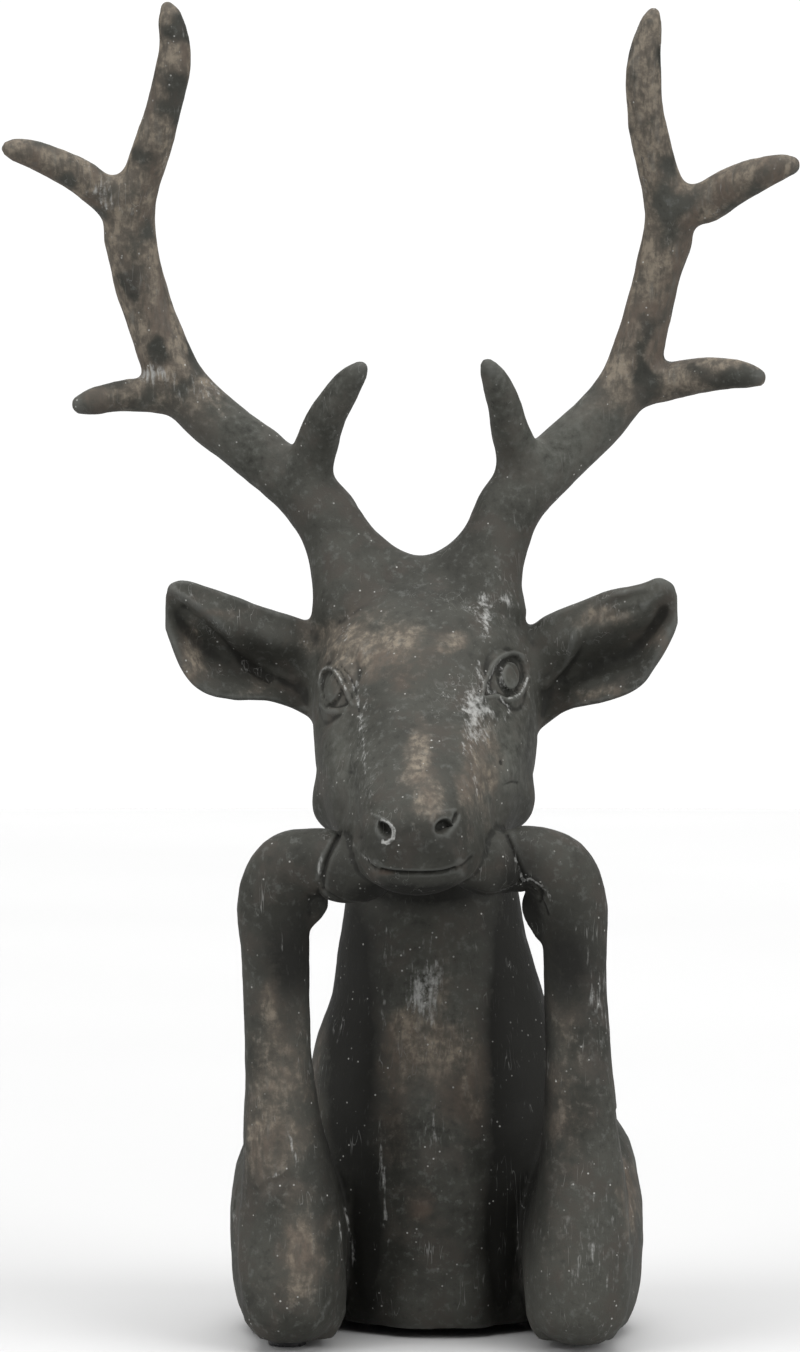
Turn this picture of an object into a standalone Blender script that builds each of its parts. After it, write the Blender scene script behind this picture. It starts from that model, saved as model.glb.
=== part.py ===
"""Deer figurine: a bust that leans on its elbows, with its chin on its front hooves. Sizes in metres."""

import bpy
import numpy as np

HEIGHT = 0.600  # from the table to the top of the antlers

PAD_DIAMETER = 0.017
PAD_HEIGHT = 0.0040
PAD_BEVEL = 0.0008
PAD_GAP = 0.0003  # the film of glue between a pad and the casting
PAD_SIDES = 28
PAD_BEVEL_CUTS = 2

LIFT = PAD_HEIGHT + PAD_GAP  # height of the casting's underside above the table

TALL = 591.7  # the casting's own height in steps
STEP = (HEIGHT - LIFT) / TALL  # every length of the figure below is a count of these steps
GRAIN = 2.1  # at which the masses are joined into one casting, in steps
DEER_TRIANGLES = 8990
MIDDLE = (15.0, 16.0)  # where the body's middle stands in plan, in steps

HEAD_PITCH = np.radians(42.0)
HEAD_ROLL = np.radians(1.6)
HEAD_AT = (-4.0, 0.0, 320.0)
HEAD_POWERS = (2.7, 2.35)  # how square the jaw and the brow are
HEAD_DOMES = (10.0, 7.0)  # how far the skull and the nose reach past the first and last station

# Spine, half depth and half width of each mass: x, y, z, half depth, half width.
TRUNK = (
    (1, 30, 0, 61, 54),
    (1, 30, 10, 64, 58),
    (1, 30, 45, 66, 61),
    (1, 27, 80, 62, 61),
    (1, 23, 112, 55, 58),
    (1, 19, 142, 47, 49),
    (-0.5, 16, 165, 41, 43.5),
    (-1, 14, 188, 37, 39.5),
    (-3, 12.5, 215, 37, 38),
    (-4, 12, 250, 38.5, 37.5),
    (-4, 13, 288, 37, 37),
    (-4, 11, 316, 29, 32),
)

# The flat front of the chest, which stands proud of the trunk.
CHEST = (
    (3, -4, 0, 31, 30),
    (3, -4, 14, 33, 31),
    (3, -4, 50, 34, 30),
    (2, -4, 84, 33, 28),
    (1, -3, 116, 29.5, 26.5),
    (0, -1, 146, 25, 24.5),
    (-1, 2, 170, 20, 22),
    (-2, 4, 188, 16, 19),
)

# Stations of the head along its own axis: distance, top, bottom, half width, narrowing of the top.
HEAD = (
    (-21, -6, -44, 26, 0.0),
    (-10, 9, -57, 40, 0.0),
    (5, 22.5, -66, 48, 0.0),
    (27, 26.5, -70, 50, 0.02),
    (50, 25, -71, 50, 0.04),
    (72, 22, -66, 47.4, 0.08),
    (90, 20.5, -57, 44.5, 0.13),
    (106, 20, -48.5, 39, 0.18),
    (122, 20, -40, 32.5, 0.18),
    (137, 19.5, -32.5, 28, 0.14),
    (150, 17.5, -26, 25.5, 0.08),
    (158, 13, -20.5, 21.5, 0.0),
)

FOREARMS = (
    (
        (-61, -68, 14, 21, 21),
        (-60.5, -66, 35, 23, 23),
        (-61.5, -66, 72, 20, 20.5),
        (-64.2, -67, 94, 17, 17.4),
        (-65.6, -68, 121, 15, 14.9),
        (-66.6, -68, 149, 14.5, 14.6),
        (-67.2, -69, 174, 14.8, 15.2),
        (-67.3, -70, 194, 15.2, 16.6),
        (-61, -73, 207.5, 15.4, 15.6),
        (-52, -76, 210.5, 15.2, 14.4),
        (-43, -79, 210.5, 14.6, 14.6),
    ),
    (
        (66, -68, 14, 21, 21),
        (66.3, -66, 35, 23, 23),
        (66.8, -66, 70, 20, 19.6),
        (66.3, -67, 94, 17, 17),
        (65.8, -68, 117, 15, 15),
        (64.2, -68, 149, 14.5, 14),
        (63.6, -69, 172, 14.6, 14),
        (62.4, -70, 192, 15.2, 15.6),
        (57, -73, 206, 15.4, 15.6),
        (49, -76, 211, 15.2, 14.6),
        (39, -79, 212, 14.6, 14.8),
    ),
)

HOOVES = (
    (
        (-45, -79, 210, 14, 13),
        (-38, -80, 207.5, 15.5, 14.6),
        (-30, -83, 205, 15, 13),
        (-23, -86, 204, 12, 9.5),
    ),
    (
        (41, -79, 212, 14, 12.4),
        (33, -80, 211, 15.5, 14),
        (25, -83, 208.5, 15, 13),
        (17.5, -86, 208, 12, 9.5),
    ),
)

UPPER_ARMS = (
    (
        (-58, -64, 20, 27, 22),
        (-60.5, -42, 27, 36, 22.5),
        (-64, -6, 36, 46.5, 27.4),
        (-57.5, 26, 44, 53, 29.5),
        (-42, 54, 45, 46, 27),
        (-28, 74, 44, 34, 22),
    ),
    (
        (64, -64, 20, 27, 22),
        (64.5, -42, 28, 37, 23.5),
        (66.5, -6, 36, 46.5, 28),
        (59.5, 26, 45, 54, 29.5),
        (44, 54, 45, 46, 27),
        (30, 74, 44, 34, 22),
    ),
)

WRIST_FOLDS = (
    (
        (-57, -70, 198, 8, 8),
        (-50.5, -69, 192, 6.5, 7),
        (-54.5, -68, 184, 4.5, 5),
    ),
    (
        (53, -70, 198, 8, 8),
        (47, -69, 191, 6.5, 7),
        (51.5, -68, 179, 4.5, 5.5),
    ),
)

# The dip between the antlers.
SADDLE = (
    (-44, -2, 362, 10, 10),
    (-33, -4, 348.5, 11, 11),
    (-20, -6, 337, 12, 12),
    (-6, -7, 331.5, 12, 12),
    (8, -6, 336.5, 12, 12),
    (20, -4, 348, 11, 11),
    (29, -2, 362, 10, 10),
)

# Every antler is a beam and three tines: x, y, z, half depth, half width.
BEAMS = (
    (
        (-33, -8, 318, 22, 22),
        (-36.5, -5, 334, 18.5, 18.5),
        (-43.6, 0, 353, 14.6, 15.2),
        (-53.5, 4, 367.6, 13.6, 14.4),
        (-74.5, 11, 386, 12.6, 13),
        (-101.5, 15, 407, 12, 12.7),
        (-117, 16, 424, 11.8, 12.8),
        (-127.5, 15, 449, 11, 11.6),
        (-134.4, 12, 471, 10.6, 11.5),
        (-137.4, 8, 491, 10.4, 11.8),
        (-134.5, 3, 507, 9.8, 11),
        (-129.6, 0, 518.5, 8.8, 9.4),
        (-122.6, -6, 538.5, 7.9, 8.3),
        (-115.8, -10, 566, 7.2, 7.8),
        (-117.5, -11, 584, 5.4, 5.8),
        (-119, -11, 589.3, 3.2, 3.4),
    ),
    (
        (23, -8, 318, 20, 19.5),
        (23.5, -5, 334, 17, 16.5),
        (28.8, 0, 353, 14.8, 15.2),
        (36.6, 4, 369.5, 14, 14.8),
        (54.5, 11, 387, 12.6, 13.4),
        (75.6, 15, 407, 12, 12.6),
        (88.5, 16, 426, 11.8, 12.6),
        (95.4, 15, 449, 10.6, 11),
        (101, 12, 471, 10.2, 10.5),
        (105.2, 8, 488, 10.2, 11.8),
        (104.2, 3, 504, 9.8, 11),
        (100.4, 0, 517.5, 8.8, 9.3),
        (95.4, -6, 540, 8, 8.5),
        (94.2, -10, 563, 7.2, 7.8),
        (97, -11, 580, 5.1, 5.4),
        (98.4, -11, 585.5, 3.3, 3.5),
    ),
)

FORK_TINES = (
    (
        (-137, 6, 496, 8.4, 10),
        (-143.5, 3, 503.5, 8.2, 10.4),
        (-152.3, 0, 509.6, 7.6, 8.6),
        (-160, -3, 515, 7.2, 7.8),
        (-178.6, -10, 523.5, 6, 6.6),
        (-188, -12.5, 525.9, 4.6, 5),
        (-190.4, -13, 526.3, 3.4, 3.6),
    ),
    (
        (104, 6, 491, 8.6, 10),
        (111.5, 4, 499, 8.2, 10),
        (123.6, 0, 503, 7.8, 9.4),
        (132.8, -4, 508.2, 7.4, 9),
        (142.6, -8, 512.8, 6.8, 8.1),
        (154, -12, 516.6, 5.6, 6.3),
        (160.4, -13, 517.7, 3.8, 4.2),
    ),
)

REAR_TINES = (
    (
        (-112, 16, 419, 8, 9.6),
        (-121.5, 16, 417, 8, 9.8),
        (-132, 14, 417, 7, 8.2),
        (-144, 10, 415.7, 6.2, 6.9),
        (-154, 6, 413.4, 5.6, 6.2),
        (-160, 4, 411.9, 4, 4.4),
    ),
    (
        (88, 16, 420, 9, 11),
        (98.5, 16, 421.4, 8.4, 9.8),
        (109.4, 14, 423.2, 7.6, 8.7),
        (122.3, 10, 425.4, 6.8, 7.9),
        (134.4, 8, 425.7, 6.2, 6.9),
        (142.6, 6, 424.6, 5.2, 5.6),
        (146.4, 5, 423.8, 4, 4.3),
    ),
)

BROW_TINES = (
    (
        (-58, 4, 378, 11, 11),
        (-54.2, 0, 389.5, 10, 10.6),
        (-49.8, -8, 400.2, 8.8, 9.2),
        (-45.2, -16, 409.3, 7.8, 8.3),
        (-38.2, -24, 419, 6.6, 7),
        (-33.4, -28, 424.6, 5, 5.4),
        (-31.2, -29.5, 427, 3.6, 3.8),
    ),
    (
        (40, 4, 378, 11, 11),
        (37.6, 0, 389.5, 10, 10.8),
        (34.6, -8, 399.5, 8.4, 8.8),
        (32.4, -16, 409.6, 7.4, 7.8),
        (29.2, -24, 419.2, 6.4, 6.8),
        (25.8, -28, 426, 4.8, 5),
        (24.6, -29.5, 428.4, 3.4, 3.6),
    ),
)

# Outline of each ear, root to tip: x, z of the upper edge, z of the lower edge, y of the rim.
EARS = (
    (
        (-44, 308, 266, -8),
        (-57, 314.5, 272, -13),
        (-72, 319.5, 278.5, -18),
        (-88, 325.5, 279.5, -22),
        (-102, 330.5, 282.5, -24),
        (-111, 333, 292, -25),
        (-117, 331.5, 305, -25),
    ),
    (
        (37, 306, 262, -8),
        (48, 315.5, 266, -13),
        (62, 321.5, 275, -18),
        (78, 328, 279, -22),
        (92, 330.5, 284.5, -24),
        (101, 334, 297, -25),
        (107.5, 331.5, 309, -25),
    ),
)
EAR_RIM = 5.0
EAR_BULGE = 15.0
EAR_CUP = 12.0
EAR_ROLL = 4.5

# Features of the face: x, z in front view, the way it faces, half width, half height, lean in degrees.
EYES = (
    ((-43.2, 285.2), (-0.66, -0.74, 0.12), 7.6, 8.0, 8),
    ((35.0, 289.6), (0.56, -0.82, 0.14), 6.4, 7.2, -8),
)
EYE_BALL = 4.6
EYE_LID = 3.2
EYE_LID_RING = (1.28, 0.20)  # where the lid runs and how wide, as shares of the eye's half size
EYE_SOCKET = 2.0
EYE_SOCKET_RING = (1.95, 0.42)

NOSTRILS = (
    ((-17.6, 227.2), (-0.42, -0.90, -0.10), 5.2, 3.3, 40),
    ((7.9, 228.2), (0.42, -0.90, -0.10), 5.2, 3.4, -30),
)
NOSTRIL_DEEP = 5.0
NOSTRIL_RIM = 0.8
NOSTRIL_RIM_RING = (1.25, 0.25)

# Bumps and hollows: centre, reach, and how far the surface moves along its facing.
SWELLINGS = (
    ((-37, -45, 300), 16, (-0.5, -0.6, 0.5), 2.6),
    ((30, -46, 304), 16, (0.5, -0.6, 0.5), 2.6),
    ((-5, -62, 300), 22, (0.0, -0.7, 0.7), 1.6),
    ((-32, -72, 262), 20, (-0.7, -0.5, 0.3), -2.4),
    ((24, -72, 262), 20, (0.7, -0.5, 0.3), -2.4),
    ((-4, -124, 221), 9, (0.0, -1.0, 0.0), -1.2),
    ((-45, -36, 231), 21, (-0.85, -0.2, -0.45), 5.0),
    ((38, -36, 232), 21, (0.85, -0.2, -0.45), 4.6),
    ((-33, -76, 234), 13, (-0.6, -0.8, 0.0), -3.2),
    ((27, -78, 234), 13, (0.6, -0.8, 0.0), -2.4),
    ((-4, -112, 201), 15, (0.0, -0.6, -0.8), 1.6),
)

# Lines cut into the surface, as x and z in front view.
MOUTH = (
    (-24.4, 212),
    (-20, 209.2),
    (-13.5, 207.6),
    (-6, 206.9),
    (1.5, 207.4),
    (8.8, 208.8),
    (14.8, 210.8),
    (19.4, 214),
)
MOUTH_CUT = 2.4
MOUTH_WIDTH = 1.5
MOUTH_BACK = -85.0  # the cut stays ahead of this y
HOOF_LINES = (
    ((-36, 228), (-40, 220), (-44.5, 209), (-47.5, 196), (-47, 188)),
    ((31, 228), (34, 219), (38, 209), (43, 199), (44, 190)),
)
HOOF_CUT = 1.7
HOOF_CUT_WIDTH = 1.8
HOOF_CUT_REACH = 32.0  # the cut stays this near the hoof's first row

PADS = ((-63.0, -52.5), (66.0, -36.0), (1.0, 76.0))


def clear_scene():
    for thing in list(bpy.data.objects):
        bpy.data.objects.remove(thing, do_unlink=True)


def principled(name, colour, roughness):
    material = bpy.data.materials.new(name)
    material.use_nodes = True
    shader = material.node_tree.nodes["Principled BSDF"]
    shader.inputs["Base Color"].default_value = (*colour, 1.0)
    shader.inputs["Roughness"].default_value = roughness
    material.diffuse_color = (*colour, 1.0)
    return material


def through(rows, per_span=6):
    """A smooth run of values through the given rows."""
    rows = np.array(rows, float)
    ends = np.vstack([2 * rows[0] - rows[1], rows, 2 * rows[-1] - rows[-2]])
    share = np.arange(per_span)[:, None] / per_span
    runs = []
    for before, here, after, last in zip(ends, ends[1:], ends[2:], ends[3:]):
        bend = 2 * before - 5 * here + 4 * after - last
        twist = 3 * here - before - 3 * after + last
        runs.append(here + 0.5 * share * (after - before + share * (bend + share * twist)))
    runs.append(rows[-1:])
    return np.vstack(runs)


def unit(vectors):
    return vectors / np.linalg.norm(vectors, axis=-1, keepdims=True)


def skin(rings):
    """Vertices and faces of a closed body through rings of equal count, each end closed by a fan."""
    count, sides = len(rings), len(rings[0])
    points = np.vstack([np.vstack(rings), rings[0].mean(axis=0), rings[-1].mean(axis=0)])
    faces = []
    for i in range(count - 1):
        for j in range(sides):
            k = (j + 1) % sides
            faces.append((i * sides + j, i * sides + k, (i + 1) * sides + k, (i + 1) * sides + j))
    first, last = count * sides, count * sides + 1
    for j in range(sides):
        k = (j + 1) % sides
        faces.append((first, k, j))
        faces.append((last, (count - 1) * sides + j, (count - 1) * sides + k))
    return points, faces


def limb(rows, depth_way=(0, 1, 0), sides=24, power=2.0, domes=(0.9, 0.9)):
    """A body of superellipse sections along a smooth spine, with a dome at each end."""
    path = through(rows)
    spots, depths, widths = path[:, :3], path[:, 3], path[:, 4]
    along = unit(np.gradient(spots, axis=0))
    first = np.array(depth_way, float) - (along @ np.array(depth_way, float))[:, None] * along
    first = unit(first)
    second = np.cross(along, first)
    turn = np.linspace(0, 2 * np.pi, sides, endpoint=False)
    swing = np.sign(np.cos(turn)) * np.abs(np.cos(turn)) ** (2 / power)
    sweep = np.sign(np.sin(turn)) * np.abs(np.sin(turn)) ** (2 / power)

    def ring(i, shrink=1.0, shift=0.0):
        out = first[i] * depths[i] * shrink * swing[:, None]
        out = out + second[i] * widths[i] * shrink * sweep[:, None]
        return spots[i] + along[i] * shift + out

    rings = [ring(i) for i in range(len(spots))]
    angles = np.radians((22, 44, 66, 84))
    for i, way, dome in ((0, -1, domes[0]), (len(spots) - 1, 1, domes[1])):
        if not dome:
            continue
        reach = dome * min(depths[i], widths[i])
        caps = [ring(i, np.cos(a), way * reach * np.sin(a)) for a in angles]
        rings = caps[::-1] + rings if way < 0 else rings + caps
    return skin(rings)


def head_axes():
    """Forward, sideways and upward directions of the head."""
    ahead = np.array((0.0, -np.cos(HEAD_PITCH), -np.sin(HEAD_PITCH)))
    above = np.array((0.0, -np.sin(HEAD_PITCH), np.cos(HEAD_PITCH)))
    aside = np.array((1.0, 0.0, 0.0))
    turned = aside * np.cos(HEAD_ROLL) + above * np.sin(HEAD_ROLL)
    raised = above * np.cos(HEAD_ROLL) - aside * np.sin(HEAD_ROLL)
    return ahead, turned, raised


def head():
    ahead, aside, above = head_axes()
    stations = through(HEAD)
    turn = np.linspace(0, 2 * np.pi, 40, endpoint=False)
    power = np.where(np.sin(turn) < 0, HEAD_POWERS[0], HEAD_POWERS[1])
    swing = np.sign(np.cos(turn)) * np.abs(np.cos(turn)) ** (2 / power)
    sweep = np.sign(np.sin(turn)) * np.abs(np.sin(turn)) ** (2 / power)
    rings = []
    for distance, top, bottom, half, pinch in stations:
        middle = np.array(HEAD_AT) + ahead * distance + above * (top + bottom) / 2
        tall = (top - bottom) / 2
        wide = half * swing * (1 - pinch * sweep)
        rings.append(middle + aside * wide[:, None] + above * tall * sweep[:, None])
    for way, reach in zip((-1, 1), HEAD_DOMES):
        base = rings[-1] if way > 0 else rings[0]
        centre = base.mean(axis=0)
        caps = []
        for angle in np.radians((25, 50, 75)):
            caps.append(centre + (base - centre) * np.cos(angle) + ahead * way * reach * np.sin(angle))
        rings = caps[::-1] + rings if way < 0 else rings + caps
    return skin(rings)


def ear(rows, side):
    """A leaf with a bulging back and a cup in its front, under a rolled upper rim."""
    stations = through(rows)
    share = np.linspace(0, 1, len(stations))
    down = np.linspace(0, 1, 15)
    rings = []
    for (x, top, bottom, rim), s in zip(stations, share):
        swell = np.sin(np.pi * (0.12 + 0.80 * down)) ** 0.8
        fade = np.sqrt(max(1.0 - s**3, 0.0))
        z = top + (bottom - top) * down
        back = rim + EAR_RIM / 2 + EAR_BULGE * swell * fade
        rim_at = 0.55 - 0.32 * s
        roll = EAR_ROLL * np.exp(-(((down - rim_at + 0.10) / 0.15) ** 2))
        cup = EAR_CUP * np.exp(-(((down - rim_at - 0.26) / 0.20) ** 2))
        front = rim - EAR_RIM / 2 + (cup * (1 - s**4) - roll * fade) * min(1.0, 3.0 * s + 0.1)
        edge_front = np.column_stack([np.full(len(z), x), front, z])
        edge_back = np.column_stack([np.full(len(z), x), back, z])[::-1]
        rings.append(np.vstack([edge_front, edge_back]))
    tip = rings[-1]
    centre = tip.mean(axis=0)
    rings.append(centre + (tip - centre) * 0.55 + np.array((side * 2.2, 0, 0)))
    return skin(rings)


def masses():
    """Every body that the casting is joined from, in steps."""
    bodies = [limb(TRUNK, power=2.15, sides=48, domes=(0, 0.8)), head(), limb(SADDLE)]
    bodies.append(limb(CHEST, power=2.7, sides=48, domes=(0, 0.5)))
    for i, side in enumerate((-1, 1)):
        bodies.append(limb(FOREARMS[i], domes=(0.75, 0.3)))
        bodies.append(limb(HOOVES[i], power=2.3, domes=(0.2, 0.6)))
        bodies.append(limb(UPPER_ARMS[i], depth_way=(0, 0, 1), power=2.7, domes=(0.6, 0.8)))
        bodies.append(limb(WRIST_FOLDS[i]))
        bodies.append(limb(BEAMS[i]))
        bodies.append(limb(FORK_TINES[i]))
        bodies.append(limb(REAR_TINES[i]))
        bodies.append(limb(BROW_TINES[i]))
        bodies.append(ear(EARS[i], side))
    return bodies


def joined(bodies, grain):
    """One closed skin round all the bodies, as points in steps and triangles."""
    points, faces, start = [], [], 0
    for spots, sides in bodies:
        points.append(spots)
        faces += [tuple(start + k for k in face) for face in sides]
        start += len(spots)
    mesh = bpy.data.meshes.new("masses")
    mesh.from_pydata(np.vstack(points).tolist(), [], faces)
    rough = bpy.data.objects.new("masses", mesh)
    bpy.context.scene.collection.objects.link(rough)
    join = rough.modifiers.new("join", "REMESH")
    join.mode = "VOXEL"
    join.voxel_size = grain
    graph = bpy.context.evaluated_depsgraph_get()
    mesh = bpy.data.meshes.new_from_object(rough.evaluated_get(graph))
    bpy.data.objects.remove(rough, do_unlink=True)
    return mesh


def coordinates(mesh):
    flat = np.empty(len(mesh.vertices) * 3)
    mesh.vertices.foreach_get("co", flat)
    return flat.reshape(-1, 3)


def edges_of(mesh):
    flat = np.empty(len(mesh.edges) * 2, np.int32)
    mesh.edges.foreach_get("vertices", flat)
    return flat.reshape(-1, 2)


def relax(points, edges, weight, rounds):
    """Moves each point towards the middle of its neighbours, by its own weight."""
    many = np.bincount(edges.ravel(), minlength=len(points))[:, None]
    for _ in range(rounds):
        total = np.zeros_like(points)
        for axis in range(3):
            total[:, axis] += np.bincount(edges[:, 0], points[edges[:, 1], axis], len(points))
            total[:, axis] += np.bincount(edges[:, 1], points[edges[:, 0], axis], len(points))
        points = points + weight[:, None] * (total / many - points)
    return points


def near(points, centre, radius):
    """A soft weight, one at the centre and nothing beyond the radius."""
    away = np.linalg.norm(points - np.array(centre), axis=1) / radius
    return np.clip(1 - away**2, 0, 1) ** 2


def foremost(points, x, z):
    """The point of the surface that stands foremost at x, z in front view."""
    away = np.hypot(points[:, 0] - x, points[:, 2] - z)
    ahead = points[away < 3.0, 1].min()
    return points[np.argmin(np.where(points[:, 1] < ahead + 6.0, away, np.inf))]


def round_spot(points, spot, facing, wide, tall, lean):
    """The way a feature faces, and every point's distance from its middle as a share of its half size."""
    facing = unit(np.array(facing))
    aside = unit(np.cross((0.0, 0.0, 1.0), -facing))
    upward = np.cross(facing, aside)
    away = points - foremost(points, *spot)
    turn = np.radians(lean)
    right = away @ aside * np.cos(turn) - away @ upward * np.sin(turn)
    rise = away @ aside * np.sin(turn) + away @ upward * np.cos(turn)
    share = np.hypot(right / wide, rise / tall)
    share[np.abs(away @ facing) > 2 * tall] = 9.0
    return facing, share


def ridge(share, middle, width):
    return np.exp(-(((share - middle) / width) ** 2))


def add_eye(points, spot, facing, wide, tall, lean):
    facing, share = round_spot(points, spot, facing, wide, tall, lean)
    ball = EYE_BALL * np.sqrt(np.clip(1 - share**2, 0, 1))
    lid = EYE_LID * ridge(share, *EYE_LID_RING)
    hollow = EYE_SOCKET * ridge(share, *EYE_SOCKET_RING)
    return points + facing * (ball + lid - hollow)[:, None]


def add_nostril(points, spot, facing, wide, tall, lean):
    facing, share = round_spot(points, spot, facing, wide, tall, lean)
    hole = NOSTRIL_DEEP * np.clip(1 - share**2, 0, 1)
    rim = NOSTRIL_RIM * ridge(share, *NOSTRIL_RIM_RING)
    return points + facing * (rim - hole)[:, None]


def from_line(points, line):
    """Distance in front view from each point to a line of x and z."""
    line = through(line, 4)
    flat = points[:, (0, 2)]
    best = np.full(len(points), np.inf)
    for start, end in zip(line, line[1:]):
        step = end - start
        share = np.clip((flat - start) @ step / (step @ step), 0, 1)
        best = np.minimum(best, np.linalg.norm(flat - start - share[:, None] * step, axis=1))
    return best


def carve(points):
    for centre, reach, way, rise in SWELLINGS:
        points = points + near(points, centre, reach)[:, None] * np.array(way) * rise
    for eye in EYES:
        points = add_eye(points, *eye)
    for nostril in NOSTRILS:
        points = add_nostril(points, *nostril)
    lips = np.exp(-((from_line(points, MOUTH) / MOUTH_WIDTH) ** 2)) * (points[:, 1] < MOUTH_BACK)
    points = points + lips[:, None] * np.array((0, MOUTH_CUT, 0))
    for i, line in enumerate(HOOF_LINES):
        centre = np.array(HOOVES[i][0][:3])
        away = from_line(points, line)
        hand = np.linalg.norm(points - centre, axis=1) < HOOF_CUT_REACH
        inward = unit(centre - points)
        cut = HOOF_CUT * np.exp(-((away / HOOF_CUT_WIDTH) ** 2)) * hand
        points = points + cut[:, None] * inward
    return points


BLENDS = (
    ((-60, 6, 382), 26),
    ((38, 6, 382), 26),
    ((-118, 15, 420), 22),
    ((88, 15, 422), 24),
    ((-136, 4, 504), 24),
    ((103, 4, 500), 24),
    ((-20, -8, 345), 34),
    ((12, -8, 345), 34),
    ((-52, -12, 292), 30),
    ((44, -12, 290), 30),
    ((-50, 20, 95), 45),
    ((52, 20, 95), 45),
    ((-4, 34, 326), 50),
    ((-4, 46, 290), 50),
    ((-62, 58, 55), 52),
    ((64, 58, 55), 52),
    ((-40, 76, 30), 40),
    ((42, 76, 30), 40),
)


def soften(points, edges):
    weight = np.full(len(points), 0.0)
    for centre, radius in BLENDS:
        weight = np.maximum(weight, near(points, centre, radius))
    points = relax(points, edges, 0.5 * np.ones(len(points)), 2)
    return relax(points, edges, 0.6 * weight, 40)


def to_world(points):
    """From steps round the body's middle to metres on the table."""
    placed = points + np.array((MIDDLE[0], MIDDLE[1], 0.0))
    return placed * STEP + np.array((0.0, 0.0, LIFT))


def deer():
    mesh = joined(masses(), GRAIN)
    points = coordinates(mesh)
    points = carve(soften(points, edges_of(mesh)))
    points[:, 2] = np.maximum(points[:, 2], 0.0)
    mesh.vertices.foreach_set("co", to_world(points).ravel())
    mesh.name = "deer"
    thing = bpy.data.objects.new("deer", mesh)
    bpy.context.scene.collection.objects.link(thing)
    thin = thing.modifiers.new("thin", "DECIMATE")
    mesh.calc_loop_triangles()
    thin.ratio = DEER_TRIANGLES / len(mesh.loop_triangles)
    thin.use_collapse_triangulate = True
    return thing


def pad(number, x, y):
    bpy.ops.mesh.primitive_cylinder_add(
        vertices=PAD_SIDES,
        radius=PAD_DIAMETER / 2,
        depth=PAD_HEIGHT,
        location=((x + MIDDLE[0]) * STEP, (y + MIDDLE[1]) * STEP, PAD_HEIGHT / 2),
    )
    thing = bpy.context.object
    thing.name = f"foot_pad_{number}"
    bevel = thing.modifiers.new("edge", "BEVEL")
    bevel.width = PAD_BEVEL
    bevel.segments = round(PAD_BEVEL_CUTS)
    bevel.limit_method = "ANGLE"
    return thing


def shade_smooth(thing):
    thing.data.polygons.foreach_set("use_smooth", [True] * len(thing.data.polygons))
    thing.data.update()


def main():
    clear_scene()
    body = deer()
    body.data.materials.append(principled("dark_cast_stone", (0.055, 0.052, 0.047), 0.8))
    shade_smooth(body)
    for number, (x, y) in enumerate(PADS, 1):
        foot = pad(number, x, y)
        foot.data.materials.append(principled(f"black_rubber_{number}", (0.012, 0.012, 0.013), 0.6))
        shade_smooth(foot)


main()
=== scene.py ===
"""The deer figurine as weathered dark cast stone.

Lengths of the figure are in steps, the rest in metres.
"""

import bmesh
import bpy
import numpy as np
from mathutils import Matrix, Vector, noise


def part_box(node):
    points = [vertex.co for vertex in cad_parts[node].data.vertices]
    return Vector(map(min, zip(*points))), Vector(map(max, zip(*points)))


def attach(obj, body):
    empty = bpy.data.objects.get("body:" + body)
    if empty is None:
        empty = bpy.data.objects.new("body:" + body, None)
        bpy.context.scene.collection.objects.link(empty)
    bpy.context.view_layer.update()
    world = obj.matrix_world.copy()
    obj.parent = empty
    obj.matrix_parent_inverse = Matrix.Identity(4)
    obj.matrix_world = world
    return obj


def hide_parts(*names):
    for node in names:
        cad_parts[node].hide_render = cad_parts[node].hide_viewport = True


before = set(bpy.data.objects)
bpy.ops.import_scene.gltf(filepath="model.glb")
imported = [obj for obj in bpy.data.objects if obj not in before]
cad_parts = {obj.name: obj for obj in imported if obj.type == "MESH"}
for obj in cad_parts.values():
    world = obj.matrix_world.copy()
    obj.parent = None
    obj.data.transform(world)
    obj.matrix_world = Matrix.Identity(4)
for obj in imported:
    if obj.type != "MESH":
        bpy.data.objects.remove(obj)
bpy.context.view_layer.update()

HEIGHT = 0.600  # from the table to the top of the antlers
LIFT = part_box("deer")[0].z  # height of the casting's underside above the table
TALL = 591.7  # the casting's own height in steps
STEP = (HEIGHT - LIFT) / TALL
MIDDLE = (15.0, 16.0)  # where the body's middle stands in plan, in steps

GRAIN = 1.2  # at which the masses are joined, in steps
SOLID_GRAIN = 2.1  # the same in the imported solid, for which the blends were chosen
TRIANGLES = 192000  # that the fine mesh is thinned to

HEAD_PITCH = np.radians(42.0)
HEAD_ROLL = np.radians(1.6)
HEAD_AT = (-4.0, 0.0, 320.0)
HEAD_POWERS = (2.7, 2.35)  # how square the jaw and the brow are
HEAD_DOMES = (10.0, 7.0)  # how far the skull and the nose reach past the first and last station

# Spine, half depth and half width of each mass: x, y, z, half depth, half width.
TRUNK = (
    (1, 30, 0, 61, 54), (1, 30, 10, 64, 58), (1, 30, 45, 66, 61), (1, 27, 80, 62, 61),
    (1, 23, 112, 55, 58), (1, 19, 142, 47, 49), (-0.5, 16, 165, 41, 43.5),
    (-1, 14, 188, 37, 39.5), (-3, 12.5, 215, 37, 38), (-4, 12, 250, 38.5, 37.5),
    (-4, 13, 288, 37, 37), (-4, 11, 316, 29, 32),
)

# The flat front of the chest, which stands proud of the trunk.
CHEST = (
    (3, -4, 0, 31, 30), (3, -4, 14, 33, 31), (3, -4, 50, 34, 30), (2, -4, 84, 33, 28),
    (1, -3, 116, 29.5, 26.5), (0, -1, 146, 25, 24.5), (-1, 2, 170, 20, 22), (-2, 4, 188, 16, 19),
)

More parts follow.
